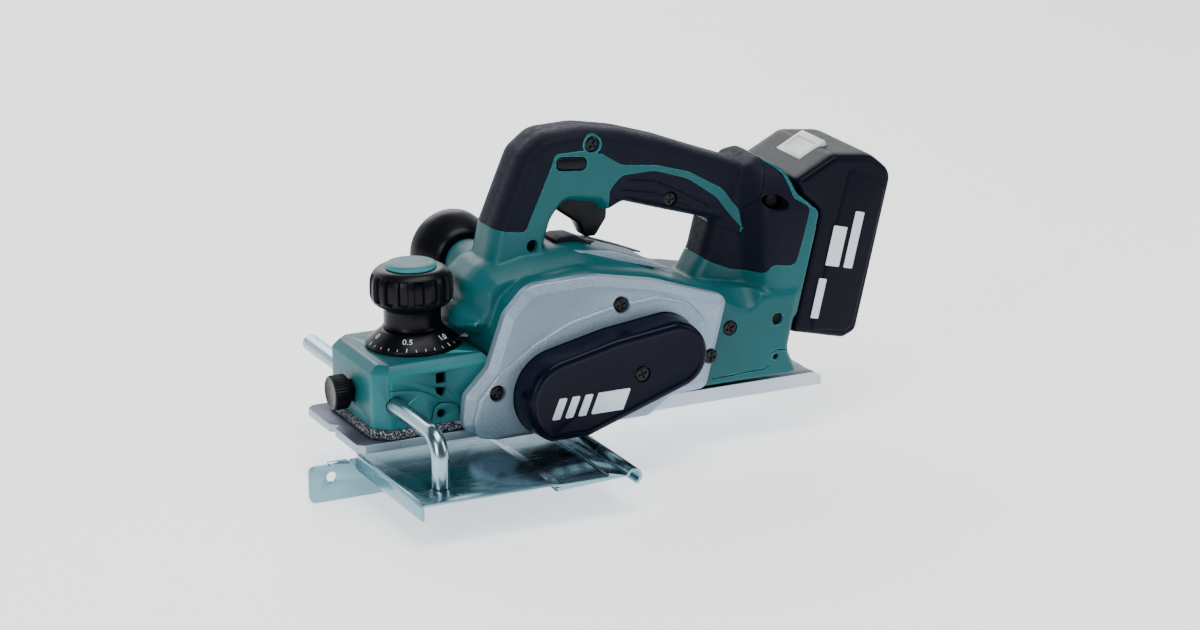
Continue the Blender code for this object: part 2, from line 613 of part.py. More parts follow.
def make_housing(side, tag):
    shell = crowned(f"housing_{tag}", rounded(WIDE, 2),
                    [(0.15, 0.0), (30.0, 0.0), (37.0, 3.0), (HALF_WIDTH, 8.0)], side, "teal", flat_below=10.0)
    spine = crowned(f"spine_{tag}", rounded(BODY, 2), [(0.15, 0.0), (20.0, 0.0), (25.0, 1.0), (27.0, 2.4)], side)
    handle = handle_block(f"handle_{tag}", side, 0.0)
    cut(handle, half_plate(f"grip_room_{tag}", rounded(GRIP, 2), side))
    cut(handle, half_plate(f"pad_room_{tag}", rounded(PAD, 2), side))
    core = handle_block(f"handle_core_{tag}", side, OVERMOULD)
    column = column_block(f"column_{tag}", side, 0.0)
    cut(column, half_plate(f"collar_room_{tag}", rounded(COLLAR, 2), side))
    column_core = column_block(f"column_core_{tag}", side, OVERMOULD)
    join(shell, spine, core, column_core, handle, column)
    return shell


def make_hollows(shell, side, tag):
    """The room inside one body half, open at the middle plane."""
    room = crowned(f"room_{tag}", grown(rounded(WIDE, 2), -3.0, flat_below=10.0),
                   [(-1.0, 0.0), (30.0, 0.0), (35.0, 3.0), (38.0, 5.5)], side, flat_below=10.0)
    spine_room = crowned(f"spine_room_{tag}", rounded(SPINE_ROOM, 2),
                         [(-1.0, 0.0), (20.0, 0.0), (23.0, 1.0)], side)
    below = box(f"base_room_{tag}", (-80.0, side * -2.0, -5.0), (150.0, side * 36.5, 12.7))
    switch_room = side_plate(f"switch_room_{tag}", rounded([(-24.0, 126.0, 3.0), (34.0, 126.0, 3.0),
                                                            (34.0, 149.0, 6.0), (-20.0, 152.0, 8.0)], 2),
                             *sorted((side * -1.0, side * 11.5)))
    trigger_room = side_plate(f"trigger_room_{tag}", [(-14.0, 90.0), (25.0, 90.0), (25.0, 130.0), (-14.0, 130.0)],
                              *sorted((side * -1.0, side * 7.6)))
    wire_way = side_plate(f"wire_way_{tag}", [(28.0, 128.0), (80.0, 115.0), (100.0, 105.0), (106.0, 112.0),
                                              (84.0, 128.0), (30.0, 145.0)], *sorted((side * -1.0, side * 10.0)))
    rail_room = side_plate(f"rail_room_{tag}", battery_outline([(-27.0, -14.0), (-27.0, 6.0), (90.0, 6.0),
                                                                (90.0, -14.0)]),
                           *sorted((side * -1.0, side * 25.5)))
    drum_room = bar(f"drum_room_{tag}", (DRUM_X, side * -1.0, DRUM_Z), (DRUM_X, side * 45.0, DRUM_Z), 25.6, count=40)
    bearing_bore = bar(f"bearing_bore_{tag}", (MOTOR_X, side * 30.0, MOTOR_Z), (MOTOR_X, side * 45.0, MOTOR_Z), 8.8)
    wall = bar(f"bearing_wall_{tag}", (MOTOR_X, side * 35.5, MOTOR_Z), (MOTOR_X, side * 40.99, MOTOR_Z), 12.4)
    clear = [(23.0, 100.0), (25.0, 99.0), (25.0, 71.5), (18.0, 71.2), (18.0, 59.5), (28.5, 50.6), (28.5, 47.0),
             (0.0, 47.0)]
    knob_room = turned(f"knob_room_{tag}", [(0.0, 100.0)] + clear, (KNOB_X, 0, 0))
    cut(shell, room, spine_room, below, switch_room, trigger_room, wire_way, rail_room, drum_room, knob_room)
    join(shell, wall)
    cut(shell, bearing_bore, half_plate(f"lock_hole_{tag}", grown(rounded(LOCK, 3), GAP), side))
    if side < 0.0:
        for screw_name in ("handle_front", "handle_rear", "body"):
            screw_hole(shell, screw_name)
    else:
        # the right half carries the chip duct out to the nozzle in a boss
        join(shell, bar("nozzle_boss", (NOZZLE_X, 16.0, NOZZLE_Z), (NOZZLE_X, 42.7, NOZZLE_Z), DUCT_RADIUS + 3.7))
        cut(shell, bar("duct_way", (NOZZLE_X, DUCT_Y, 45.0), (NOZZLE_X, DUCT_Y, NOZZLE_Z + 4.4), DUCT_RADIUS + 0.5),
            bar("duct_arm_way", (NOZZLE_X, 4.0, NOZZLE_Z), (NOZZLE_X, 50.0, NOZZLE_Z), DUCT_RADIUS + 0.5))


def make_duct():
    """The chip duct goes up from the drum and turns out to the right."""
    duct = bar("chip_duct", (NOZZLE_X, DUCT_Y, 52.0), (NOZZLE_X, DUCT_Y, NOZZLE_Z + 4.0), DUCT_RADIUS, "black", 20)
    arm = bar("duct_arm", (NOZZLE_X, 6.0, NOZZLE_Z), (NOZZLE_X, 42.5, NOZZLE_Z), DUCT_RADIUS, count=20)
    join(duct, arm)
    cut(duct, bar("duct_bore", (NOZZLE_X, DUCT_Y, 48.0), (NOZZLE_X, DUCT_Y, NOZZLE_Z + 1.0), DUCT_RADIUS - 2.1, count=20),
        bar("duct_arm_bore", (NOZZLE_X, DUCT_Y, NOZZLE_Z), (NOZZLE_X, 50.0, NOZZLE_Z), DUCT_RADIUS - 2.2, count=20))
    profile = [(10.5, 43.0), (16.0, 43.0), (19.0, 47.0), (24.0, 58.0), (25.0, 66.0), (24.0, 68.0), (22.5, 67.0),
               (22.5, 60.0), (17.0, 50.0), (10.5, 46.5), (10.5, 43.0)]
    turned("chip_nozzle", profile[::-1], (NOZZLE_X, 0, NOZZLE_Z), "black", axis='Y', count=26)


def make_trims():
    vent = side_plate("vent_trim", rounded([(-14.0, 90.0), (9.0, 90.0), (9.0, 95.8), (-2.0, 100.4, 8.0),
                                            (-10.0, 100.9, 3.0), (-14.0, 99.6)], 2), -9.0, 9.0, "rubber")
    cut(vent, side_plate("vent_seat", grown(rounded(BODY, 2), GAP), -20.0, 20.0))
    smooth(vent)
    for side, tag in ((-1.0, "left"), (1.0, "right")):
        blade = side_plate(f"side_trim_{tag}", rounded([(-11.0, 97.0), (16.0, 92.8, 30.0), (54.0, 76.0), (20.0, 90.0, 30.0),
                                                        (-4.0, 95.0, 3.0)], 2),
                           *sorted((side * 27.2, side * 28.0)), "silver")
        smooth(blade)


# ---------------------------------------------------------------- front bracket, depth knob

def make_bracket():
    half = BRACKET_HALF_WIDTH
    plan = [(BRACKET_FRONT + 8.0, -half), (-67.0, -half), (-67.0, half), (BRACKET_FRONT + 8.0, half),
            (BRACKET_FRONT, half - 8.0), (BRACKET_FRONT, -half + 8.0)]
    plan = rounded([(x, y, 5.0) if x < -70.0 else (x, y) for x, y in plan], 2)
    bracket = top_plate("front_bracket", plan, 12.0, BRACKET_TOP, "teal")
    roof = [(-half - 1.0, 5.0), (half + 1.0, 5.0), (half + 1.0, 44.5), (half - 4.0, BRACKET_TOP + 0.1),
            (-half + 4.0, BRACKET_TOP + 0.1), (-half - 1.0, 44.5)]
    section = flat_mesh("bracket_section", roof, -160.0, -60.0)
    section.transform(Matrix(((0, 0, 1, 0), (1, 0, 0, 0), (0, 1, 0, 0), (0, 0, 0, 1))))
    keep_inside(bracket, put("bracket_section", section))
    inner = [(BRACKET_FRONT + 10.0, -half + 3.0), (-70.0, -half + 3.0), (-70.0, half - 3.0),
             (BRACKET_FRONT + 10.0, half - 3.0), (BRACKET_FRONT + 3.0, half - 10.0),
             (BRACKET_FRONT + 3.0, -half + 10.0)]
    cut(bracket, top_plate("bracket_hollow", inner, 8.0, 43.0),
        bar("bracket_spindle_hole", (KNOB_X, 0, 38.0), (KNOB_X, 0, 52.0), 5.3),
        bar("bracket_rod_hole", (ROD_X, -60.0, ROD_Z), (ROD_X, 60.0, ROD_Z), ROD_RADIUS + GAP),
        bar("bracket_clamp_hole", (-150.0, 0, ROD_Z), (-120.0, 0, ROD_Z), 3.4, count=16),
        box("bracket_window_high", (-102.0, -half - 2.0, 35.0), (-95.0, -half + 4.0, 41.5)),
        box("bracket_window_low", (-102.0, -half - 2.0, 26.0), (-95.0, -half + 4.0, 33.0)))


def make_foam():
    half = BRACKET_HALF_WIDTH
    shoe_top = DEPTH_AT_REST + SHOE_THICKNESS
    outer = [(BRACKET_FRONT + 7.5, -half + 0.5), (-68.0, -half + 0.5), (-68.0, half - 0.5),
             (BRACKET_FRONT + 7.5, half - 0.5), (BRACKET_FRONT + 0.5, half - 7.5),
             (BRACKET_FRONT + 0.5, -half + 7.5)]
    foam = top_plate("foam_seal", outer, shoe_top + GAP, 12.0 - GAP, "foam")
    cut(foam, top_plate("foam_hollow", grown(outer, -7.0), 0.0, 20.0))


def make_knob():
    dial = [(5.5, 59.0), (15.0, 59.0), (18.5, 57.2), (26.9, 50.4), (26.9, 48.8), (24.0, 48.7), (5.5, 48.7),
            (5.5, 59.0)]
    turned("depth_dial", dial, (KNOB_X, 0, 0), "black", count=40)
    grip_profile = [(5.5, 93.5), (16.4, 93.5), (19.0, 92.6), (22.6, 89.0), (23.7, 85.0), (23.7, 78.0), (22.4, 74.0),
                    (20.0, 72.4), (16.3, 71.0), (16.3, 59.4), (5.5, 59.4), (5.5, 93.5)]
    grip = turned("knob_grip", grip_profile, (KNOB_X, 0, 0), "black", count=32)
    for index in range(16):
        turn = 2.0 * math.pi * index / 16
        x = KNOB_X + 24.6 * math.cos(turn)
        y = 24.6 * math.sin(turn)
        cut(grip, bar(f"flute_{index}", (x, y, 74.0), (x, y, 95.0), 1.9, count=6))
    cap = turned("knob_cap", [(0.0, 96.4), (13.6, 96.4), (14.8, 95.6), (15.4, 93.8), (0.0, 93.8)],
                 (KNOB_X, 0, 0), "teal", count=40)
    smooth(cap)
    turned("depth_spindle", [(0.0, 93.3), (5.2, 93.3), (5.2, 49.0), (5.0, 48.0), (5.0, 44.0), (4.0, 40.0), (4.0, 10.5),
                             (0.0, 10.5)], (KNOB_X, 0, 0), "steel", count=20)
    pointer = [(-67.2, -4.5), (-67.2, -0.5), (-71.8, -2.5)]
    top_plate("dial_pointer", pointer, BRACKET_TOP + GAP, BRACKET_TOP + 1.6, "silver")


def make_clamp():
    head = bar("clamp_screw", (-150.5, 0, ROD_Z), (-140.8, 0, ROD_Z), 10.0, "black", 32)
    bevel(head, 0.8, 1, 60.0)
    stud = bar("clamp_stud", (-142.0, 0, ROD_Z), (ROD_X - ROD_RADIUS - 0.2, 0, ROD_Z), 3.0, count=16)
    collar = bar("clamp_collar", (-141.5, 0, ROD_Z), (BRACKET_FRONT - GAP, 0, ROD_Z), 6.5, count=24)
    join(head, collar, stud)


# ---------------------------------------------------------------- fence

def make_rod():
    bend = 13.0
    points = [(ROD_X, ROD_FAR_Y, ROD_Z), (ROD_X, ROD_OUTER_Y + bend, ROD_Z)]
    for step in range(1, 7):
        angle = math.radians(15.0 * step)
        points.append((ROD_X, ROD_OUTER_Y + bend - bend * math.sin(angle), ROD_Z - bend + bend * math.cos(angle)))
    points.append((ROD_X, ROD_OUTER_Y, PLATE_TOP + GAP))
    curve = bpy.data.curves.new("guide_rod", 'CURVE')
    curve.dimensions = '3D'
    curve.bevel_depth = ROD_RADIUS * MM
    curve.bevel_resolution = 4
    curve.use_fill_caps = True
    spline = curve.splines.new('POLY')
    spline.points.add(len(points) - 1)
    for point, place in zip(spline.points, points):
        point.co = (*(Vector(place) * MM), 1.0)
    holder = bpy.data.objects.new("guide_rod", curve)
    bpy.context.scene.collection.objects.link(holder)
    mesh = bpy.data.meshes.new_from_object(holder.evaluated_get(bpy.context.evaluated_depsgraph_get()))
    bpy.data.objects.remove(holder, do_unlink=True)
    weld = bmesh.new()
    weld.from_mesh(mesh)
    bmesh.ops.remove_doubles(weld, verts=weld.verts, dist=1e-6)
    bmesh.ops.recalc_face_normals(weld, faces=weld.faces)
    weld.to_mesh(mesh)
    weld.free()
    rod = put("guide_rod", mesh, "zinc")
    join(rod, bar("rod_tenon", (ROD_X, ROD_OUTER_Y, 1.0), (ROD_X, ROD_OUTER_Y, -7.0), 3.2, count=20),
         bar("rod_rivet", (ROD_X, ROD_OUTER_Y, PLATE_TOP - SHEET - GAP), (ROD_X, ROD_OUTER_Y, -6.8), 5.2, count=20))


def make_fence():
    """One bent sheet: plate, front flange, rolled rear hem, and the face that guides along the work."""
    top, low = PLATE_TOP, PLATE_TOP - SHEET
    front = -146.8
    hem_x, hem_z, hem_radius = -20.0, -5.6, 4.8
    hem_inner = hem_radius - SHEET
    section = [(front, -11.3, 0.0), (front + SHEET, -11.3, 0.0), (front + SHEET, low, 1.0), (-70.0, low, 3.0),
               (-64.0, low - JOGGLE, 3.0), (-31.0, low - JOGGLE, 1.0)]
    section = rounded(section, 2)
    section += [(hem_x + hem_inner * math.cos(a), hem_z + hem_inner * math.sin(a))
                for a in (math.radians(d) for d in range(165, -76, -30))]
    section += [(hem_x + hem_radius * math.cos(a), hem_z + hem_radius * math.sin(a))
                for a in (math.radians(d) for d in range(-75, 166, 24))]
    section += rounded([(-40.0, 0.0), (-30.0, top - JOGGLE, 1.0), (-63.4, top - JOGGLE, 3.0), (-70.0, top, 3.0),
                        (front, top, 2.4), (front, -40.0)], 2)[1:-1]
    plate = side_plate("guide_fence", section, FENCE_NEAR_Y, FENCE_FACE_Y - 2.0, "zinc")
    face = side_plate("fence_face", rounded([(-175.5, -5.4, 4.0), (-175.5, -27.0, 4.0), (-40.0, -27.0, 4.0),
                                             (-40.0, low - 1.0), (-150.5, low - 1.0), (-150.5, -5.4)], 2),
                      FENCE_FACE_Y - SHEET, FENCE_FACE_Y)
    bend = box("fence_bend", (-146.0, FENCE_FACE_Y - 3.0, low - 1.4), (-72.0, FENCE_FACE_Y - 0.1, top - 0.1))
    tab = box("fence_tab", (-164.0, FENCE_FACE_Y - 5.5, -5.8), (-152.5, FENCE_FACE_Y - 0.02, -4.2))
    join(plate, face, bend, tab)
    cut(plate, bar("fence_hole", (-162.0, -40.0, -13.0), (-162.0, -10.0, -13.0), 3.0, count=20),
        bar("fence_rod_hole", (ROD_X, ROD_OUTER_Y, -10.0), (ROD_X, ROD_OUTER_Y, 5.0), 3.6, count=20))


# ---------------------------------------------------------------- controls

def make_controls():
    # the underside rises to leave room for the trigger's swing
    side_plate("switch_body", [(-8.0, 129.5), (2.0, 129.5), (24.0, 134.4), (32.0, 134.4), (32.0, 139.0), (-8.0, 139.0)],
               -10.5, 10.5, "black")
    trigger = side_plate("trigger", rounded([(-12.5, 128.0), (-11.0, 116.0, 5.0), (2.0, 106.5, 6.0), (6.0, 98.0, 2.0),
                                             (12.5, 98.0, 3.0), (19.5, 108.0, 4.0), (20.5, 128.0)], 2),
                         -7.0, 7.0, "black")
    smooth(trigger)
    lock = side_plate("lock_button", rounded(LOCK, 3), -18.4, 14.0, "black")
    smooth(lock)


def button_outline(half_length, below, above):
    """The release button's side view, from below to above the sloping top it sits in."""
    along, out = Vector((0.653, 0.758)), Vector((0.758, -0.653))
    centre = Vector(BUTTON_CENTRE)
    corners = [centre + along * end * half_length + out * level
               for end, level in ((-1.0, below), (1.0, below), (1.0, above), (-1.0, above))]
    return battery_outline([tuple(corner) for corner in corners])


def make_battery():
    half = BATTERY_HALF_WIDTH
    shape = battery_outline([(-32.5, 0.5, 3.0), (41.5, 0.5), (48.0, -11.5), (56.5, -18.5, 3.0), (59.5, -15.0, 2.0),
                             (75.0, 3.0, 5.0), (78.0, 28.0, 10.0), (70.0, 43.5, 8.0), (-27.0, 43.5, 4.0),
                             (-32.5, 36.0, 4.0)], 2)
    case = crowned("battery_case", shape, [(-half, 3.0), (-half + 1.2, 1.2), (-half + 4.0, 0.0),
                                           (half - 4.0, 0.0), (half - 1.2, 1.2), (half, 3.0)], 1.0, "black")
    rail = side_plate("battery_rail", battery_outline([(-24.0, -12.5), (-24.0, 3.0), (50.0, 3.0), (50.0, -12.5)]),
                      -24.0, 24.0)
    contact_room = side_plate("contact_room", battery_outline([(-40.0, -20.0), (-40.0, -1.0), (30.0, -1.0),
                                                               (30.0, -20.0)]), -15.0, 15.0)
    cell_room = side_plate("cell_room", battery_outline([(-29.0, 3.5), (64.0, 3.5), (64.0, 40.5), (-29.0, 40.5)]),
                           -34.5, 34.5)
    vent = side_plate("case_vent", battery_outline([(-40.0, 10.0), (-40.0, 14.0), (-20.0, 14.0), (-20.0, 10.0)]),
                      -12.0, 12.0)
    join(case, rail)
    cut(case, contact_room, cell_room, vent)
    pack = None
    for row in range(2):
        for column in range(5):
            centre = battery_point(-19.4 + 18.35 * column, 12.8 + 18.35 * row)
            cell = bar("cell_pack" if pack is None else f"cell_{row}_{column}", (centre[0], -32.5, centre[1]),
                       (centre[0], 32.5, centre[1]), 9.2, "cells" if pack is None else None, 12)
            if pack is None:
                pack = cell
            else:
                join(pack, cell)
    strip = battery_outline([(-22.0, 9.0), (57.0, 9.0), (57.0, 35.0), (-22.0, 35.0)])
    for side in (-1.0, 1.0):
        join(pack, side_plate(f"cell_strip_{side:+.0f}", strip, side * 32.0, side * 33.4))
    cut(case, side_plate("button_recess", button_outline(9.75 + GAP, -6.8, 2.0), -BUTTON_HALF_WIDTH - GAP,
                         BUTTON_HALF_WIDTH + GAP))
    side_plate("release_button", button_outline(9.75, -3.2, 0.4), -BUTTON_HALF_WIDTH, BUTTON_HALF_WIDTH, "grey")
    side_plate("terminal_block", battery_outline([(-22.0, -13.6), (-22.0, -1.6), (24.0, -1.6), (24.0, -13.6)]),
               -14.0, 14.0, "black")


def build_body():
    for side, tag in ((-1.0, "left"), (1.0, "right")):
        shell = make_housing(side, tag)
        make_hollows(shell, side, tag)
        make_soft_layers(side, tag)


make_front_shoe()
make_rear_base()
make_rest_foot()
make_drum()
make_bearings()
make_drive()
make_motor()
make_side_cover()
make_belt_cover()
make_bearing_box()
build_body()
make_duct()
make_trims()
make_bracket()
make_foam()
make_knob()
make_clamp()
make_rod()
make_fence()
make_controls()
make_battery()
make_screws()
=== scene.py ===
import math

import bmesh
import bpy
from mathutils import Matrix, Vector


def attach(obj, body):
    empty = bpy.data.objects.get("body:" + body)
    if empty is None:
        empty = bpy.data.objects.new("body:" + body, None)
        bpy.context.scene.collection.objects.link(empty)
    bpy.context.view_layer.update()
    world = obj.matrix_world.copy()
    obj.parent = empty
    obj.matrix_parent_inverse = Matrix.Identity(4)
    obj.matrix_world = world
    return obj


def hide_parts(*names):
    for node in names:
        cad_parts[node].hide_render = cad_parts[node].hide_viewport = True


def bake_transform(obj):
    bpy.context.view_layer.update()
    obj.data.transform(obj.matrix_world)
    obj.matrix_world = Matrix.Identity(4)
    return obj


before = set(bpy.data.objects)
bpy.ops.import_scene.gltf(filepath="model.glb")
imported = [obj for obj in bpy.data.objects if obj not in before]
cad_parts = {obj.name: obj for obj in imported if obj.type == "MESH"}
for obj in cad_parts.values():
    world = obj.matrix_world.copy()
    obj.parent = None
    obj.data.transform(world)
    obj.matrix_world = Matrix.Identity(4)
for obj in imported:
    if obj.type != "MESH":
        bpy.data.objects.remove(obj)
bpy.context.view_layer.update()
mm = 0.001      # everything below is written in millimetres
far = 60        # a cutter that goes through everything reaches this far to each side

# where the turning parts sit, seen from the side
knobX = -99.4
rodX, rodZ = -126, 26
drumX, drumZ = -34, 24.1
motorX, motorZ = 32, 41
nozzleX, nozzleZ = -48, 79

print("stage: frame loaded,", len(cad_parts), "nodes")


# Outlines, as lists of corners (x, z) or (x, z, radius)

def arcs(corners, steps=6):
    outline = []
    count = len(corners)
    for index, corner in enumerate(corners):
        here = Vector(corner[:2])
        radius = corner[2] if len(corner) > 2 else 0
        if radius <= 0:
            outline.append(tuple(here))
            continue
        back = (Vector(corners[index - 1][:2]) - here).normalized()
        ahead = (Vector(corners[(index + 1) % count][:2]) - here).normalized()
        half = back.angle(ahead) / 2
        centre = here + (back + ahead).normalized() * radius / math.sin(half)
        start = here + back * radius / math.tan(half) - centre
        sweep = math.pi - 2 * half
        turn = 1 if back.x * ahead.y - back.y * ahead.x < 0 else -1
        for step in range(steps + 1):
            angle = turn * sweep * step / steps
            outline.append((centre.x + start.x * math.cos(angle) - start.y * math.sin(angle),
                    centre.y + start.x * math.sin(angle) + start.y * math.cos(angle)))
    return outline


def circlePoints(x, z, radius, count=64):
    turn = 2 * math.pi / count
    return [(x + radius * math.cos(turn * k), z + radius * math.sin(turn * k)) for k in range(count)]


def hullOf(points):
    points = sorted(set((round(x, 5), round(z, 5)) for x, z in points))

    def chain(ordered):
        kept = []
        for point in ordered:
            while len(kept) > 1:
                (ax, az), (bx, bz) = kept[-2], kept[-1]
                if (bx - ax) * (point[1] - az) - (bz - az) * (point[0] - ax) > 1e-6:
                    break
                kept.pop()
            kept.append(point)
        return kept[:-1]
    return chain(points) + chain(points[::-1])


def groove(line, half):
    return [(x, z + half) for x, z in line] + [(x, z - half) for x, z in reversed(line)]


def signedArea(outline):
    return 0.5 * sum(a[0] * b[1] - b[0] * a[1] for a, b in zip(outline, outline[1:] + outline[:1]))


def grow(outline, amount, flatBelow=None):
    sign = 1 if signedArea(outline) > 0 else -1
    moved = []
    for index, here in enumerate(outline):
        before = Vector(here) - Vector(outline[index - 1])
        after = Vector(outline[(index + 1) % len(outline)]) - Vector(here)
        first = Vector((before.y, -before.x)).normalized() * sign
        second = Vector((after.y, -after.x)).normalized() * sign
        bisector = first + second
        x, z = Vector(here) + bisector * amount * 2 / max(bisector.length_squared, 0.8)
        if flatBelow is not None and here[1] < flatBelow:
            z = here[1]
        moved.append((x, z))
    return moved


def resample(outline, count, centre):
    # equal steps along the outline, starting where it crosses the line straight up from the centre
    if signedArea(outline) < 0:
        outline = outline[::-1]
    first = max(range(len(outline)),
            key=lambda k: math.cos(math.atan2(outline[k][0] - centre[0], outline[k][1] - centre[1])))
    ring = [Vector(p) for p in outline[first:] + outline[:first + 1]]
    lengths = [(b - a).length for a, b in zip(ring, ring[1:])]
    total = sum(lengths)
    points, edge, walked = [], 0, 0
    for k in range(count):
        target = total * k / count
        while walked + lengths[edge] < target:
            walked += lengths[edge]
            edge += 1
        share = (target - walked) / max(lengths[edge], 1e-9)
        points.append(tuple(ring[edge].lerp(ring[edge + 1], share)))
    return points


# Mesh builders

def addPiece(name, verts, faces):
    mesh = bpy.data.meshes.new(name)
    mesh.from_pydata([(x * mm, y * mm, z * mm) for x, y, z in verts], [], faces)
    shape = bmesh.new()
    shape.from_mesh(mesh)
    bmesh.ops.recalc_face_normals(shape, faces=shape.faces)
    shape.to_mesh(mesh)
    shape.free()
    return linked(name, mesh)


def loft(name, rings, ringClosed=False):
    count = len(rings[0])
    verts = [point for ring in rings for point in ring]
    faces = []
    rows = len(rings)
    for row in range(rows if ringClosed else rows - 1):
        for k in range(count):
            a, b = row * count + k, row * count + (k + 1) % count
            c, d = (row + 1) % rows * count + (k + 1) % count, (row + 1) % rows * count + k
            faces.append((a, b, c, d))
    if not ringClosed:
        faces += [tuple(range(count)), tuple(range(len(verts) - count, len(verts)))]
    return addPiece(name, verts, faces)


def plate(name, outline, low, high):
    return loft(name, [[(x, y, z) for x, z in outline] for y in (low, high)])


def slab(name, outline, low, high):
    return loft(name, [[(x, y, z) for x, y in outline] for z in (low, high)])


def block(name, low, high):
    plan = [(low[0], low[1]), (high[0], low[1]), (high[0], high[1]), (low[0], high[1])]
    return slab(name, plan, low[2], high[2])


def crowned(name, outline, levels, flatBelow=None):
    # levels are (y, how far the outline draws in there)
    return loft(name, [[(x, y, z) for x, z in grow(outline, -inset, flatBelow)] for y, inset in levels])


def bothSides(levels):
    return [(-y, inset) for y, inset in reversed(levels)] + [(y, inset) for y, inset in levels]


def lathe(name, profile, centre, lie="z", count=64, reach=None):
    closed = profile[0] == profile[-1]
    rows, verts, faces = [], [], []
    for radius, height in profile[:-1] if closed else profile:
        row = []
        for k in range(1 if radius == 0 else count):
            angle = 2 * math.pi * k / count
            r = reach(radius, height, angle) if reach and radius > 0 else radius
            across, up = r * math.cos(angle), r * math.sin(angle)
            place = {"z": (across, up, height), "y": (across, height, up), "x": (height, across, up)}[lie]
            row.append(len(verts))
            verts.append(tuple(Vector(centre) + Vector(place)))
        rows.append(row)
    for a, b in zip(rows, rows[1:] + rows[:1] if closed else rows[1:]):
        for k in range(count):
            j = (k + 1) % count
            if len(a) == 1:
                faces.append((a[0], b[k], b[j]))
            elif len(b) == 1:
                faces.append((a[k], a[j], b[0]))
            else:
                faces.append((a[k], a[j], b[j], b[k]))
    return addPiece(name, verts, faces)


def rod(name, start, end, radius, count=32, endRadius=None):
    start, end = Vector(start), Vector(end)
    along = (end - start).normalized()
    side = along.orthogonal().normalized()
    over = along.cross(side)
    rings = []
    for place, r in ((start, radius), (end, radius if endRadius is None else endRadius)):
        rings.append([tuple(place + side * r * math.cos(t) + over * r * math.sin(t))
                for t in (2 * math.pi * k / count for k in range(count))])
    return loft(name, rings)


def sweep(name, points, radius, count=32):
    points = [Vector(p) for p in points]
    rings, over = [], None
    for index, here in enumerate(points):
        ahead = points[min(index + 1, len(points) - 1)] - points[max(index - 1, 0)]
        along = ahead.normalized()
        side = (over.cross(along) if over else along.orthogonal()).normalized()
        over = along.cross(side)
        rings.append([tuple(here + side * radius * math.cos(t) + over * radius * math.sin(t))
                for t in (2 * math.pi * k / count for k in range(count))])
    return loft(name, rings)


def linked(name, data):
    piece = bpy.data.objects.new(name, data)
    bpy.context.scene.collection.objects.link(piece)
    return piece


def settle(piece):
    graph = bpy.context.evaluated_depsgraph_get()
    mesh = bpy.data.meshes.new_from_object(piece.evaluated_get(graph))
    piece.modifiers.clear()
    old = piece.data
    piece.data = mesh
    mesh.name = piece.name
    bpy.data.meshes.remove(old)
    return piece


def carve(piece, *others, how="DIFFERENCE", solver="MANIFOLD"):
    for other in others:
        change = piece.modifiers.new("carve", "BOOLEAN")
        change.operation = how
        change.solver = solver
        change.object = other
        settle(piece)
        bpy.data.objects.remove(other, do_unlink=True)
    return piece


def copyOf(piece, name):
    return linked(name, piece.data.copy())


def melt(name, blocks, voxel, passes):
    # several overlapping blocks become one skin, with the joints between them rounded
    shape = bmesh.new()
    for each in blocks:
        shape.from_mesh(each.data)
        bpy.data.objects.remove(each, do_unlink=True)
    mesh = bpy.data.meshes.new(name)
    shape.to_mesh(mesh)
    shape.free()
    piece = linked(name, mesh)
    skin = piece.modifiers.new("skin", "REMESH")
    skin.mode = "VOXEL"
    skin.voxel_size = voxel * mm
    settle(piece)
    if passes:
        ease = piece.modifiers.new("ease", "SMOOTH")
        ease.factor = 0.5
        ease.iterations = passes
        settle(piece)
    return piece


def roundEdges(piece, width, segments=3, angle=35):
    edge = piece.modifiers.new("edges", "BEVEL")
    edge.width = width * mm
    edge.segments = segments
    edge.limit_method = "ANGLE"
    edge.angle_limit = math.radians(angle)
    edge.use_clamp_overlap = True
    edge.harden_normals = False
    return settle(piece)


def smoothShade(piece, angle=35):
    piece.data.shade_smooth()
    piece.data.set_sharp_from_angle(angle=math.radians(angle))
    return piece


def dress(piece, finish, body, slot, *nodes, angle=35):
    smoothShade(piece, angle)
    piece.data.materials.clear()
    piece.data.materials.append(finishes[finish])
    for face in piece.data.polygons:
        face.material_index = 0
    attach(piece, body)
    if nodes:
        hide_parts(*nodes)
    return piece


# Finishes

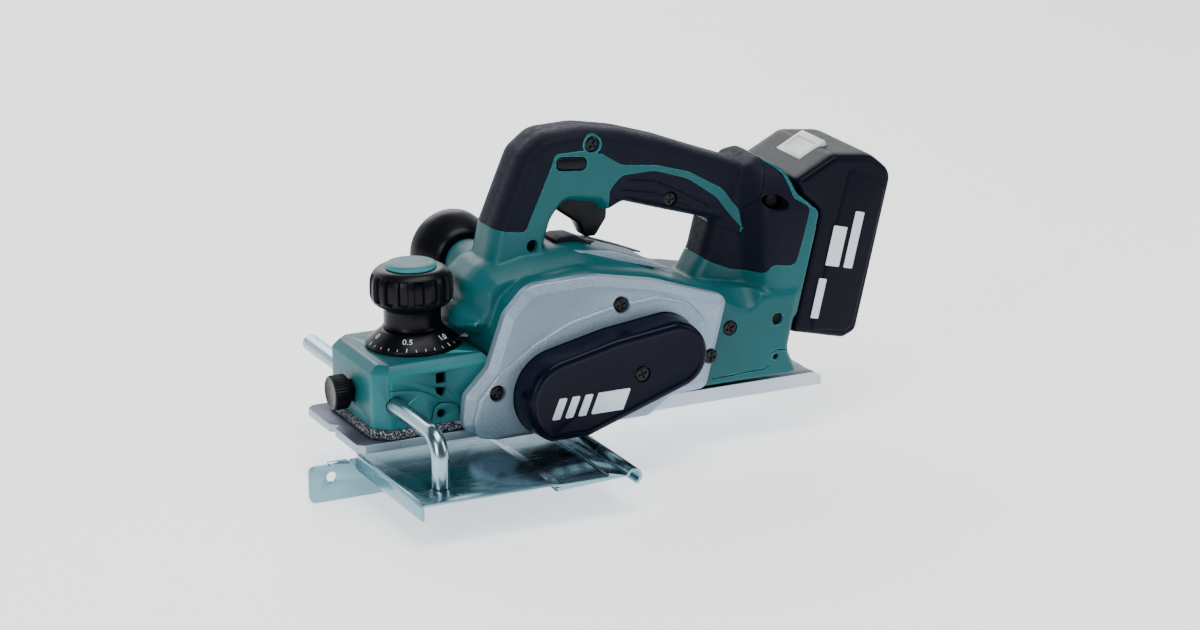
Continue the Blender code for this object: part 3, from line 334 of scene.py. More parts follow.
class Nodes:
    # short hands for wiring a material
    def __init__(self, name):
        self.made = bpy.data.materials.new(name)
        self.made.use_nodes = True
        self.tree = self.made.node_tree
        self.shader = self.tree.nodes["Principled BSDF"]
        self.place = self.add("ShaderNodeTexCoord").outputs["Object"]

    def add(self, kind, **settings):
        node = self.tree.nodes.new(kind)
        for key, value in settings.items():
            if key in node.inputs:
                node.inputs[key].default_value = value
            else:
                setattr(node, key, value)
        return node

    def wire(self, source, target):
        self.tree.links.new(source, target)

    def colour(self, source):
        self.wire(source, self.shader.inputs["Base Color"])

    def roughness(self, source):
        self.wire(source, self.shader.inputs["Roughness"])

    def noise(self, scale, detail=3, stretch=None):
        node = self.add("ShaderNodeTexNoise", Scale=scale, Detail=detail)
        if stretch:
            change = self.add("ShaderNodeMapping")
            change.inputs["Scale"].default_value = stretch
            self.wire(self.place, change.inputs["Vector"])
            self.wire(change.outputs["Vector"], node.inputs["Vector"])
        else:
            self.wire(self.place, node.inputs["Vector"])
        return node.outputs["Fac"]

    def cells(self, scale, feature="F1"):
        node = self.add("ShaderNodeTexVoronoi", Scale=scale)
        node.feature = feature
        self.wire(self.place, node.inputs["Vector"])
        return node.outputs["Distance"]

    def spread(self, source, low, high, fromLow=0.3, fromHigh=0.7):
        node = self.add("ShaderNodeMapRange")
        node.inputs["From Min"].default_value = fromLow
        node.inputs["From Max"].default_value = fromHigh
        node.inputs["To Min"].default_value = low
        node.inputs["To Max"].default_value = high
        self.wire(source, node.inputs["Value"])
        return node.outputs["Result"]

    def blend(self, share, first, second):
        node = self.add("ShaderNodeMix", data_type="RGBA")
        self.wire(share, node.inputs["Factor"])
        for socket, value in ((node.inputs[6], first), (node.inputs[7], second)):
            if isinstance(value, tuple):
                socket.default_value = (*value, 1)
            else:
                self.wire(value, socket)
        return node.outputs[2]

    def edges(self, low=0.52, high=0.6):
        # share of painted highlight and wear on the outward edges
        return self.spread(self.add("ShaderNodeNewGeometry").outputs["Pointiness"], 0, 1, low, high)

    def bumps(self, *layers):
        normal = None
        for height, strength, distance in layers:
            node = self.add("ShaderNodeBump", Strength=strength, Distance=distance * mm)
            self.wire(height, node.inputs["Height"])
            if normal:
                self.wire(normal, node.inputs["Normal"])
            normal = node.outputs["Normal"]
        self.wire(normal, self.shader.inputs["Normal"])

    def set(self, **values):
        for key, value in values.items():
            self.shader.inputs[key.replace("_", " ")].default_value = value


def mouldedPlastic(name, colour, shade, roughness, shine=0.35, edgeHighlightAndWear=None):
    m = Nodes(name)
    cloud = m.spread(m.noise(28, 4), 0, 1)
    base = m.blend(cloud, colour, shade)
    # a paler colour on the outward edges: a painted highlight along the edges, partly edge wear
    if edgeHighlightAndWear:
        base = m.blend(m.edges(), base, edgeHighlightAndWear)
    m.colour(base)
    m.roughness(m.spread(m.noise(160, 4), roughness - 0.02, roughness + 0.04))
    m.bumps((m.noise(2600, 2), 0.10, 0.05), (m.noise(70, 2), 0.02, 0.15))
    m.set(Specular_IOR_Level=shine)
    return m.made


def softRubber(name, colour, shade):
    m = Nodes(name)
    m.colour(m.blend(m.spread(m.noise(22, 4), 0, 1), colour, shade))
    m.roughness(m.spread(m.noise(300, 3), 0.5, 0.64))
    m.bumps((m.cells(2200), 0.22, 0.06), (m.noise(5200, 2), 0.15, 0.04))
    m.set(Specular_IOR_Level=0.12, Sheen_Weight=0.04, Sheen_Roughness=0.4)
    m.shader.inputs["Sheen Tint"].default_value = (0.35, 0.5, 0.9, 1)
    return m.made


def speckledPaint(name, colour, fleck, dark):
    m = Nodes(name)
    flecks = m.spread(m.noise(2400, 2), 0, 1, 0.54, 0.66)
    shades = m.spread(m.noise(1700, 2), 0, 1, 0.55, 0.68)
    base = m.blend(m.spread(m.noise(30, 3), 0, 0.5), colour, dark)
    m.colour(m.blend(flecks, m.blend(shades, base, dark), fleck))
    m.roughness(m.spread(m.noise(900, 2), 0.36, 0.5))
    m.bumps((m.noise(3000, 2), 0.12, 0.05))
    m.set(Metallic=0.45)
    return m.made


def metalPlate(name, colour, tint, roughness, stretch=(1, 1, 1), bump=0.05, streak=240):
    m = Nodes(name)
    lines = m.noise(streak, 4, stretch)
    m.colour(m.blend(m.spread(m.noise(14, 3), 0, 1), colour, tint))
    m.roughness(m.spread(lines, roughness - 0.05, roughness + 0.09))
    m.bumps((lines, bump, 0.06), (m.noise(45, 2), 0.02, 0.2))
    m.set(Metallic=1)
    return m.made


def castMetal(name, colour, dark, roughness):
    m = Nodes(name)
    grain = m.noise(1500, 3)
    parts = m.add("ShaderNodeSeparateXYZ")
    m.wire(m.add("ShaderNodeNewGeometry").outputs["Normal"], parts.inputs[0])
    facingUp = m.spread(parts.outputs["Z"], 0, 1, 0.75, 0.9)
    rough = m.blend(m.spread(m.noise(60, 5), 0, 1), colour, dark)
    cut = m.blend(m.spread(m.noise(240, 4, (0.2, 0.2, 4)), 0, 1), (0.40, 0.50, 0.55), (0.30, 0.40, 0.46))
    m.colour(m.blend(facingUp, cut, rough))
    m.roughness(m.spread(grain, roughness - 0.06, roughness + 0.08))
    m.bumps((grain, 0.25, 0.08))
    m.set(Metallic=0.7)
    return m.made


def openFoam(name, colour, fleck):
    m = Nodes(name)
    pores = m.cells(950)
    m.colour(m.blend(m.spread(m.noise(1100, 2), 0, 1, 0.5, 0.6), colour, fleck))
    m.bumps((pores, 0.9, 0.5), (m.noise(2600, 2), 0.6, 0.2))
    m.set(Roughness=0.95, Specular_IOR_Level=0.2)
    return m.made


finishes = {
    # teal: its pale third colour is a painted highlight along the edges, partly edge wear
    "teal": mouldedPlastic("tealMoulding", (0.0007, 0.074, 0.086), (0.0011, 0.09, 0.101), 0.4,
                           shine=0.26, edgeHighlightAndWear=(0.06, 0.36, 0.4)),
    "rubber": softRubber("navyRubber", (0.0026, 0.0036, 0.0105), (0.0036, 0.0048, 0.0135)),
    "black": mouldedPlastic("blackMoulding", (0.0018, 0.002, 0.0042), (0.0026, 0.003, 0.006), 0.3, shine=0.14),
    "glossFace": mouldedPlastic("navyFace", (0.0016, 0.0026, 0.01), (0.0022, 0.0034, 0.0125), 0.22, shine=0.1),
    "darkBattery": mouldedPlastic("batteryMoulding", (0.0014, 0.002, 0.007), (0.0022, 0.003, 0.0095), 0.34,
                                  shine=0.09),
    "silver": speckledPaint("speckledSilver", (0.24, 0.32, 0.41), (0.4, 0.49, 0.58), (0.16, 0.23, 0.31)),
    "zinc": metalPlate("brightZinc", (0.24, 0.4, 0.45), (0.16, 0.3, 0.36), 0.2, (0.25, 1.6, 1)),
    "rodZinc": metalPlate("drawnZinc", (0.34, 0.48, 0.54), (0.22, 0.35, 0.42), 0.22, (1, 0.12, 1)),
    "aluminium": metalPlate("machinedAluminium", (0.5, 0.56, 0.62), (0.4, 0.47, 0.55), 0.36, (0.1, 1, 4), 0.12),
    "cast": castMetal("castAluminium", (0.105, 0.115, 0.165), (0.075, 0.085, 0.13), 0.5),
    "steel": metalPlate("groundSteel", (0.46, 0.47, 0.5), (0.38, 0.4, 0.44), 0.28, (1, 0.1, 1)),
    "copper": metalPlate("windings", (0.62, 0.3, 0.14), (0.45, 0.22, 0.12), 0.38, (1, 4, 1), 0.3, 700),
    "foam": openFoam("speckledFoam", (0.01, 0.012, 0.018), (0.34, 0.37, 0.43)),
    "cells": mouldedPlastic("cellSleeve", (0.08, 0.2, 0.42), (0.07, 0.17, 0.36), 0.4),
    "grey": mouldedPlastic("paleMoulding", (0.74, 0.77, 0.76), (0.68, 0.72, 0.71), 0.38),
    "screw": mouldedPlastic("blackenedScrew", (0.003, 0.0034, 0.005), (0.005, 0.0055, 0.008), 0.2, shine=0.2),
    "print": mouldedPlastic("palePrint", (0.66, 0.75, 0.82), (0.6, 0.7, 0.78), 0.45),
    # the hole finish is painted shade for the insides of the housing's holes
    "hole": mouldedPlastic("paintedHoleShade", (0.002, 0.002, 0.003), (0.003, 0.003, 0.004), 0.7),
}
print("stage: finishes made")


# Body: one skin for housing, handle and column, split along the lines of the soft layers

bodyShape = {
    "voxel": 0.85,
    "passes": 16,
    "seam": 0.16,           # half the width of the line between two layers
    "halfWidth": 41,
    "ring": (5.9, 155.4, 5.9),      # teal ring round the handle's front screw
    "footHole": (-32.1, 100.8),
    "ovalHole": (113.2, 112),
    "rearHole": (111.8, 43.6),
    "smallHole": (110.5, 21),
    "lock": [(-16.5, 142.8, 3.4), (2.2, 140.8, 3.4), (2.2, 148.4, 3.4), (-16.5, 150.6, 3.4)],
}
wide = [(-66, 9.4), (-65.5, 60, 12), (-58.5, 78, 14), (-45, 87.6, 18), (-8, 90, 40),
        (34, 81.4, 60), (66, 67, 12), (100, 62), (129.6, 62), (120.4, 23.6, 10), (127, 9.4)]
spine = [(-66.2, 12), (-66.2, 51.4, 3), (-81.5, 59.4, 3), (-80, 68, 3), (-73.6, 72.5, 3),
        (-73.4, 84, 6.5), (-63, 92.8, 8), (-40, 97.9, 14), (-2, 97.8, 30), (40, 82.8, 60),
        (66, 66, 10), (90, 60), (90, 12)]
column = [(64, 45), (65.5, 66, 4), (74, 80, 4), (79, 99, 5), (84, 112, 4),
        (90, 134, 4), (99, 136, 4), (113, 134.4, 5), (122.7, 129.2, 5), (127.2, 115.7, 5),
        (140.4, 103.8, 4), (125, 42.4, 4)]
handle = [(-60.3, 84), (-54.1, 111, 20), (-45.3, 131.5, 30), (-35.8, 153.2, 14), (-22, 163.8, 16),
        (4, 164.4, 30), (28, 159.7, 60), (54, 151.3, 60), (80, 140.8, 60), (104, 131.5),
        (104, 92), (80, 100.7), (50, 110.2, 30), (27, 117.7, 6), (16, 112.7, 5),
        (9, 119.2, 3), (-10, 122.7, 6), (-17.8, 113, 12), (-22.3, 99, 6), (-16, 84)]
gripArea = [(98.3, 95.8), (97, 106.8, 6), (88.2, 119.3, 14), (66.2, 132.4, 30), (46, 138.6, 20),
        (24, 141.4, 10), (12.5, 149, 4), (0, 152.6, 4), (-17, 152.6, 4), (-20.4, 144, 6),
        (-26, 132, 20), (-36.5, 109.6, 3), (-60, 113), (-72, 113.6), (-72, 180), (130, 180), (130, 95.8)]
padArea = [(20.5, 108), (16, 118, 3), (16.4, 127, 6), (24, 135, 8), (45, 135.2, 20),
        (66, 127.8, 26), (84, 114.5, 20), (97.3, 96.4), (97.3, 88), (50, 88)]
bootArea = [(50, 80), (67, 86, 3), (79.5, 76.5, 10), (93, 70.5, 10), (106, 70.4, 4),
        (110, 76, 4), (124, 73.8, 5), (134.4, 107, 4), (124.2, 113.4, 5), (120.6, 127.4, 4),
        (113.6, 132.8, 3), (110, 150), (50, 150)]
gripOnly = [(40, 106), (80, 98.6), (97.2, 92), (99, 96), (98.2, 107), (104, 113), (112.6, 134),
        (112.6, 182), (40, 182)]
padRibs = [[(28.9, 132), (44, 129.6), (59.1, 122.2), (79.4, 110)],
        [(23.8, 126.7), (43.9, 122.6), (64.1, 112.6), (80.5, 103)], [(18.9, 121.7), (43.8, 115.8), (69.2, 106)]]


def sideCuts(piece, outline, low, high):
    return carve(piece, plate("cutNear", outline, -high, -low), plate("cutFar", outline, low, high))


def joinMeshes(piece, other):
    shape = bmesh.new()
    shape.from_mesh(piece.data)
    shape.from_mesh(other.data)
    shape.to_mesh(piece.data)
    shape.free()
    bpy.data.objects.remove(other, do_unlink=True)
    return piece


def batteryPoint(up, out):
    tilt = math.radians(14)
    return (130.6 + up * math.sin(tilt) + out * math.cos(tilt), 63.8 + up * math.cos(tilt) - out * math.sin(tilt))


def batteryShape(corners, steps=6):
    return arcs([(*batteryPoint(*c[:2]), *c[2:]) for c in corners], steps)


def makeSkin():
    halfWidth = bodyShape["halfWidth"]
    wideLevels = bothSides([(0, 0), (31, 0), (35, 0.4), (38, 1.3), (40, 2.8), (halfWidth, 4.6)])
    wideBlock = crowned("wideBlock", arcs(wide), wideLevels, flatBelow=10)
    # the scoop between the narrow column and the wide foot
    scoopOuter = [(50, 73), (60.5, 67.4), (72.7, 62), (82.5, 55), (88, 51.8), (93.6, 50.9), (97.5, 52.6),
            (100.6, 56), (104.7, 66.3), (107.4, 77), (107.4, 100), (50, 100)]
    scoopInner = [(50, 84), (60.5, 80), (72.7, 76), (82.5, 72), (88, 70), (93.6, 69), (96, 69.5),
            (97.5, 71), (99, 75), (100, 80), (100, 100), (50, 100)]
    for side in (-1, 1):
        rings = []
        for y, share in ((22, 1), (28, 0.72), (34, 0.38), (38, 0.16), (41.6, 0), (48, -0.1)):
            rings.append([(a[0] + (b[0] - a[0]) * share, side * y, a[1] + (b[1] - a[1]) * share)
                    for a, b in zip(scoopOuter, scoopInner)])
        carve(wideBlock, loft("scoop", rings))
    spineLevels = bothSides([(0, 0), (10, 0), (15, 0.8), (19, 2.2), (23, 4.2), (27, 6.6), (30.5, 9)])
    spineBlock = crowned("spineBlock", arcs(spine, 4), spineLevels)
    handleLevels = bothSides([(0, 0), (7, 0), (11, 0.8), (14, 2), (16.4, 3.6), (17.7, 4.8)])
    handleBlock = crowned("handleBlock", arcs(handle, 5), handleLevels)
    # the column: round in front, wide behind, with its shoulders drawn in at the top
    fronts = [(40, 66, 0), (66, 69, 0), (72, 72.5, 0), (80, 77.6, 0), (90, 80.4, 0),
            (99, 83, 0.5), (107, 85.6, 1.2), (114, 88.2, 2.6), (120, 90.6, 5), (125, 93, 8.4),
            (129, 95.4, 12.6), (132, 97.8, 17.6), (134.4, 100.4, 24)]
    rings = []
    for z, x, inset in fronts:
        plan = arcs([(x, -14.6, 11), (97, -20, 10), (108, -39.4, 10), (150, -39.4),
                (150, 39.4), (108, 39.4, 10), (97, 20, 10), (x, 14.6, 11)])
        rings.append([(max(px, x + inset * 0.4), py * (39.4 - inset) / 39.4, z) for px, py in plan])
    columnBlock = loft("columnBlock", rings)
    carve(columnBlock, plate("columnSide", arcs(column, 4), -60, 60), how="INTERSECT")
    nozzleBoss = rod("nozzleBoss", (nozzleX, 16, nozzleZ), (nozzleX, 42.3, nozzleZ), 13.5, 48)
    blocks = [wideBlock, spineBlock, handleBlock, columnBlock, nozzleBoss]
    return melt("bodySkin", blocks, bodyShape["voxel"], bodyShape["passes"])


def openSkin(piece):
    # everything that goes into the body from outside
    knobRoom = [(0, 100), (23.6, 100), (25.4, 99), (25.4, 71.5), (18.4, 71.2), (18.4, 59.5),
            (28.7, 50.6), (28.7, 46),
            (0, 46)]
    carve(piece, lathe("knobRoom", knobRoom, (knobX, 0, 0)))
    triggerRoom = [(-14, 90.5), (27, 90.5), (27, 137), (8, 133), (-14, 130)]
    carve(piece, plate("triggerRoom", triggerRoom, -7.6, 7.6))
    carve(piece, plate("lockWay", grow(arcs(bodyShape["lock"]), 0.35), -30, 30))
    railRoom = batteryShape([(-27, -14), (-27, 6), (90, 6), (90, -14)])
    carve(piece, plate("railRoom", railRoom, -25.5, 25.5))
    carve(piece, rod("ductArm", (nozzleX, 4, nozzleZ), (nozzleX, far, nozzleZ), 10.6, 48))
    holes = [(*bodyShape["footHole"], 3.8, 1.5), (*bodyShape["rearHole"], 3.9, 26),
            (*bodyShape["smallHole"], 2, 33),
            (80.7, 42.6, 4.7, 39.4), (*bodyShape["ring"][:2], 4.7, 13.4), (54.5, 117.2, 4.7, 13.4)]
    for x, z, radius, depth in holes:
        for side in (-1, 1):
            carve(piece, rod("hole", (x, side * depth, z), (x, side * 50, z), radius, 40))
    ovalX, ovalZ = bodyShape["ovalHole"]
    oval = [(ovalX + 8 * math.cos(t) * 0.95 - 4.6 * math.sin(t) * 0.31,
            ovalZ - 8 * math.cos(t) * 0.31 - 4.6 * math.sin(t) * 0.95)
            for t in (2 * math.pi * k / 48 for k in range(48))]
    sideCuts(piece, oval, 24, 50)
    # the line where the flank's lower panel starts
    line = [(69.5, 13.3), (102.9, 14.7), (106.1, 16.5), (107.9, 23.3), (111.7, 25), (117.3, 24.2), (124, 23)]
    sideCuts(piece, groove(line, 0.35), 37.6, 50)
    return piece


def hollowOut(piece):
    room = grow(arcs(wide, 4), -5, flatBelow=10)
    carve(piece, crowned("room", room, bothSides([(0, 0), (28, 0), (32, 2), (35, 5)]), flatBelow=10))
    carve(piece, block("baseRoom", (-80, -36.5, -5), (150, 36.5, 12.7)))
    carve(piece, rod("drumRoom", (drumX, -45, drumZ), (drumX, 45, drumZ), 25.6, 64))
    carve(piece, plate("switchRoom", [(-12, 128), (33, 128), (33, 140), (-12, 140)], -11.2, 11.2))
    return piece


def makeLayer(skin, name, area, reach=None):
    # the layer keeps what lies in its area, and its core takes the same room out of the housing
    seam = bodyShape["seam"]
    layer = copyOf(skin, name)
    carve(layer, plate("area", grow(area, -seam), -far, far), how="INTERSECT")
    core = plate(name + "Core", grow(area, seam), -far, far)
    if reach:
        carve(layer, plate("end", grow(reach, -seam), -far - 10, far + 10), how="INTERSECT")
        carve(core, plate("end", grow(reach, seam), -far - 10, far + 10), how="INTERSECT")
    return layer, core


def makeBody():
    skin = openSkin(makeSkin())
    print("stage: body skin,", len(skin.data.polygons), "faces")
    seam = bodyShape["seam"]
    limit = arcs(gripOnly)
    reach = [(-90, 182), (-90, 60), (40, 60)] + limit[:-1]
    around = circlePoints(*bodyShape["ring"], 48)

    gripLayer, gripCore = makeLayer(skin, "gripLayer", arcs(gripArea), reach)
    sideCuts(gripLayer, grow(around, seam), 6, far)

    padLayer, padCore = makeLayer(skin, "padLayer", arcs(padArea), reach)
    carve(padLayer, block("padMiddle", (-10, -8.3, 60), (120, 8.3, 160)))
    for line in padRibs:
        sideCuts(padLayer, groove(line, 0.5), 16.9, 40)
    carve(padCore, block("padStay", (-10, -8, 60), (120, 8, 160)))

    bootLayer, bootCore = makeLayer(skin, "bootLayer", arcs(bootArea))
    carve(bootLayer, plate("end", grow(limit, seam), -far, far))
    carve(bootCore, plate("end", grow(limit, -seam), -far - 10, far + 10))

    ringPost = copyOf(skin, "ringPost")
    carve(ringPost, plate("ringArea", around, -far, far), copyOf(gripCore, "ringStay"), how="INTERSECT")
    carve(skin, gripCore, padCore, bootCore)
    joinMeshes(hollowOut(skin), ringPost)
    for layer in (skin, gripLayer, bootLayer):
        carve(layer, block("middleSeam", (-120, -0.14, 0), (200, 0.14, 220)))
    core = crowned("core", grow(arcs(handle, 3), -3), bothSides([(0, 0), (9, 0), (14.4, 4)]))
    holeX, holeZ = bodyShape["footHole"]
    carve(core, plate("coreTrigger", [(-15, 60), (28, 60), (28, 138), (8, 134), (-15, 131)], -30, 30),
            plate("coreLock", grow(arcs(bodyShape["lock"]), 0.6), -30, 30),
            rod("coreHole", (holeX, -30, holeZ), (holeX, 30, holeZ), 5))
    joinMeshes(skin, core)
    skin.name = "bodyHousing"
    dress(skin, "teal", "planer_body", "teal", "housing_left", "housing_right")
    for layer, node in ((gripLayer, "grip"), (padLayer, "pad"), (bootLayer, "collar")):
        dress(layer, "rubber", "planer_body", "rubber", node + "_left", node + "_right")


def makeHoleShadePlugs():
    # near-black plugs deep in the housing's holes: painted shade standing in for the darkness inside them
    ends = (("footHole", 3.75, 1.6, 11), ("rearHole", 3.85, 26.5, 38), ("smallHole", 1.95, 33.5, 38.6),
            ("ovalHole", 3.6, 24.5, 30))
    for index, (hole, radius, low, high) in enumerate(ends):
        x, z = bodyShape[hole]
        for side, tag in ((-1, "Left"), (1, "Right")):
            shadePlug = rod(f"holeShadePlug{tag}{index}", (x, side * low, z), (x, side * high, z), radius, 40)
            dress(shadePlug, "hole", "planer_body", "black")


makeBody()
makeHoleShadePlugs()
print("stage: body and soft layers made")


# Covers of the belt side, and their screws

coverShape = {"face": -50, "bossFace": -52, "beltFace": -72, "rimWidth": 5.4, "screwSeat": 5, "wall": 3.2}
coverOutline = [(-73, 0.7, 6), (-89.5, 8, 8), (-87.5, 28, 6), (-73.5, 42, 8), (-62.5, 72, 10),
        (-48, 87, 14), (-8, 87.8, 60), (30, 80, 60), (76.5, 64, 6), (62.5, 10.8, 6), (40, 9.3, 6), (26, 0.7, 6)]
bossOutline = [(-70.7, 1.2, 5), (-82.6, 4, 5), (-84.8, 13.5, 6), (-81.3, 25, 6), (-69.8, 38.8, 10),
        (-47.2, 53.7, 30), (-24.6, 64.1, 40), (3.3, 69.6, 40), (32.3, 71.6, 20), (50, 65.6, 12),
        (60, 54.2, 10), (61.6, 38, 20), (56, 24, 12), (38, 11, 10), (24, 1.2, 6)]
screws = {      # node, x, z, top of the head, length
    "screwCoverTop": ("screw_cover_top", 7.5, 69.5, -50.4, 5.4),
    "screwCoverFront": ("screw_cover_front", -70, 28.7, -50.4, 5.4),
    "screwCoverRear": ("screw_cover_rear", 63.9, 30.5, -50.4, 5.4),
    "screwBeltCover": ("screw_belt_cover", 10.5, 34, -71.2, 12),
    "screwHandleFront": ("screw_handle_front", 5.9, 155.4, -17, 7),
    "screwHandleRear": ("screw_handle_rear", 54.5, 117.2, -16.6, 5.6),
    "screwBody": ("screw_body", 80.7, 42.6, -41, 5),
}


def makeScrew(name, node, x, z, top, length, turn):
    profile = [(0, top + 0.25), (1.2, top + 0.2), (3, top), (4, top + 0.25), (4.5, top + 0.8), (4.55, top + 1.4),
            (1.7, top + 1.5), (1.7, top + length), (0, top + length)]
    head = lathe(name, profile, (x, 0, z), "y", 48)
    for quarter in (0, 90):
        angle = math.radians(turn + quarter)
        along = Vector((math.cos(angle), math.sin(angle)))
        across = Vector((-math.sin(angle), math.cos(angle)))
        corners = [Vector((x, z)) + along * a * 2.8 + across * b * 0.6
                for a, b in ((-1, -1), (1, -1), (1, 1), (-1, 1))]
        carve(head, plate("recess", [tuple(c) for c in corners], top - 1, top + 1.15))
    dress(head, "screw", "planer_body", "screw", node)


def beltOutline():
    ring = circlePoints(drumX, drumZ, 26.4, 96) + circlePoints(motorX, motorZ, 20.8, 96)
    crown = [(x, z) for x, z in circlePoints(2, 12, 46, 160) if z > 44 and -24 < x < 28]
    return resample(hullOf([(x, max(z, 0.7)) for x, z in ring] + crown), 200, (0, 25))


def makeCovers():
    belt = beltOutline()
    cover = crowned("sideCover", arcs(coverOutline, 10), [(-41.3, 0), (-45.6, 0), (-46.2, 0.2), (-46.7, 0.8),
            (-49.2, 4.3), (-49.7, 4.9), (coverShape["face"], coverShape["rimWidth"])])
    carve(cover, plate("cheekRoom", grow(arcs(coverOutline), -coverShape["wall"]), -47.6, -30),
            block("rootRoom", (-20, -45, -1), (42, -40, 13)))
    boss = crowned("swooshBoss", arcs(bossOutline, 8), [(-49.4, 0), (-50.3, 0), (-50.9, 0.35), (-51.7, 1.5),
            (-51.95, 2.1), (coverShape["bossFace"], 2.9)])
    carve(boss, plate("beltSeat", grow(belt, 0.45), -60, -50.3))
    seat = coverShape["screwSeat"]
    for name, (node, x, z, top, length) in screws.items():
        if name.startswith("screwCover"):
            for each in (cover, boss):
                carve(each, rod("seat", (x, -far, z), (x, -49, z), seat, 40))
    dress(cover, "silver", "planer_body", "silver", "side_cover")
    dress(boss, "silver", "planer_body", "silver")

    shell = crowned("beltCover", belt, [(-50.4, 0), (-51.5, 0), (-66, 1), (-69.6, 1.45), (-71, 2.1),
            (-71.7, 3), (coverShape["beltFace"], 4.3), (-72, 5), (-71.6, 5.6), (-71.4, 6.2)])
    carve(shell, plate("beltRoom", grow(belt, -coverShape["wall"]), -69.2, -40),
            rod("seat", (10.5, -80, 34), (10.5, -70.2, 34), seat, 40))
    joinMeshes(shell, rod("pillar", (10.5, -70.3, 34), (10.5, -50.6, 34), 6))
    dress(shell, "glossFace", "planer_body", "black", "belt_cover")

    # plain slanted bars take the place of lettering
    for index, (left, width) in enumerate(((-46, 5), (-38, 5), (-30, 5), (-22, 20))):
        bar = [(left, 15, 0.8), (left + width, 15, 0.8), (left + width + 5, 27, 0.8), (left + 5, 27, 0.8)]
        dress(crowned(f"coverMark{index}", arcs(bar, 4), [(-71.3, 0), (-71.52, 0), (-71.6, 0.12)]),
                "print", "planer_body", "grey")

    right = crowned("bearingBox", arcs([(-83, 9.3, 5), (-80, 30, 8), (-60, 56, 10), (0, 63, 20),
            (62.5, 60, 6), (59.5, 9.3, 4)], 8),
            [(41.3, 0), (46.6, 0), (47.4, 0.5), (49.3, 2.4), (49.8, 3), (50, 3.8)])
    carve(right, plate("rightRoom", [(-120, -5), (120, -5), (120, 120), (-120, 120)], 30, 44.7),
            rod("rightSeat", (drumX, 40, drumZ), (drumX, 47.7, drumZ), 14.4, 48))
    for x, z, radius in ((drumX, drumZ, 13), (motorX, motorZ, 11)):
        carve(right, lathe("rightLine", [(radius, 49.3), (radius + 1, 49.3), (radius + 1, 52), (radius, 52),
                (radius, 49.3)], (x, 0, z), "y", 72))
    for step in range(7):
        x = -14 + 5.2 * step
        carve(right, plate("vent", arcs([(x, 18, 1), (x + 2.4, 18, 1), (x + 2.4, 42, 1), (x, 42, 1)]),
                46.5, 55))
    dress(right, "silver", "planer_body", "silver", "bearing_box")
    for index, (name, (node, x, z, top, length)) in enumerate(screws.items()):
        makeScrew(name, node, x, z, top, length, 17 + 31 * index)


makeCovers()
print("stage: covers and screws made")


# Front bracket, depth knob, foam

bracketShape = {"half": 38, "front": -137.5, "top": 48.3, "wall": 3, "rodHole": 5.3}


def makeBracket():
    half, front, top = bracketShape["half"], bracketShape["front"], bracketShape["top"]
    wall, hole = bracketShape["wall"], bracketShape["rodHole"]
    plan = arcs([(front + 8, -half, 5), (-67, -half), (-67, half), (front + 8, half, 5),
            (front, half - 8, 5), (front, -half + 8, 5)], 6)
    levels = ((12, 0), (43.3, 0), (43.9, 0.25), (47.6, 4), (48.1, 4.7), (top, 5.6))
    body = loft("bracket", [[(x, y, z) for x, y in grow(plan, -inset)] for z, inset in levels])
    carve(body, block("bracketBack", (-67, -far, 0), (-40, far, 60)))
    inner = [(front + 10, -half + wall), (-70, -half + wall), (-70, half - wall), (front + 10, half - wall),
            (front + wall, half - 10), (front + wall, -half + 10)]
    carve(body, slab("bracketRoom", inner, 8, 43), rod("spindleWay", (knobX, 0, 38), (knobX, 0, 52), hole),
            rod("rodWay", (rodX, -far, rodZ), (rodX, far, rodZ), hole, 40),
            rod("clampWay", (-150, 0, rodZ), (-120, 0, rodZ), 3.4),
            lathe("dialSeat", [(0, 48), (27.6, 48), (27.6, 52), (0, 52)], (knobX, 0, 0), "z", 96))
    highWindow = arcs([(-101.5, 35, 1), (-95.5, 35, 1), (-95.5, 41.5, 1), (-101.5, 41.5, 1)], 4)
    lowWindow = arcs([(-102.3, 33.4, 0.8), (-95.4, 32.4, 0.8), (-97.3, 26.7, 1.2), (-101.2, 29.5, 0.8)], 4)
    panel = arcs([(-104.8, 11), (-104.6, 15, 2), (-103.2, 21.4, 2), (-99.7, 23.8, 2), (-91.5, 23.2, 3),
            (-88.1, 20.2, 3), (-86, 11)], 4)
    sideCuts(body, highWindow, 33, 50)
    sideCuts(body, lowWindow, 33, 50)
    frameLine = plate("frameLine", grow(panel, 0.45), -50, -36.9)
    carve(frameLine, plate("frameInner", grow(panel, -0.45), -60, -30))
    carve(body, frameLine)
    carve(body, rod("panelHole", (-98.8, -50, 17.5), (-98.8, -33, 17.5), 2.5))
    parting = [(-139, 35.6), (-119, 33.9), (-109.8, 31.9), (-90.4, 20.6), (-84, 17.5), (-66, 17)]
    sideCuts(body, groove(parting, 0.22), 37.4, 50)
    roundEdges(body, 0.35, 2)
    dress(body, "teal", "planer_body", "teal", "front_bracket")
    pointer = slab("dialPointer", [(-67.4, -4.5), (-67.4, -0.5), (-71.6, -2.5)], 48.6, 49.8)
    dress(roundEdges(pointer, 0.25, 2), "print", "planer_body", "silver", "dial_pointer")


foamShape = {"bulge": 2.9, "width": 9, "points": 220}


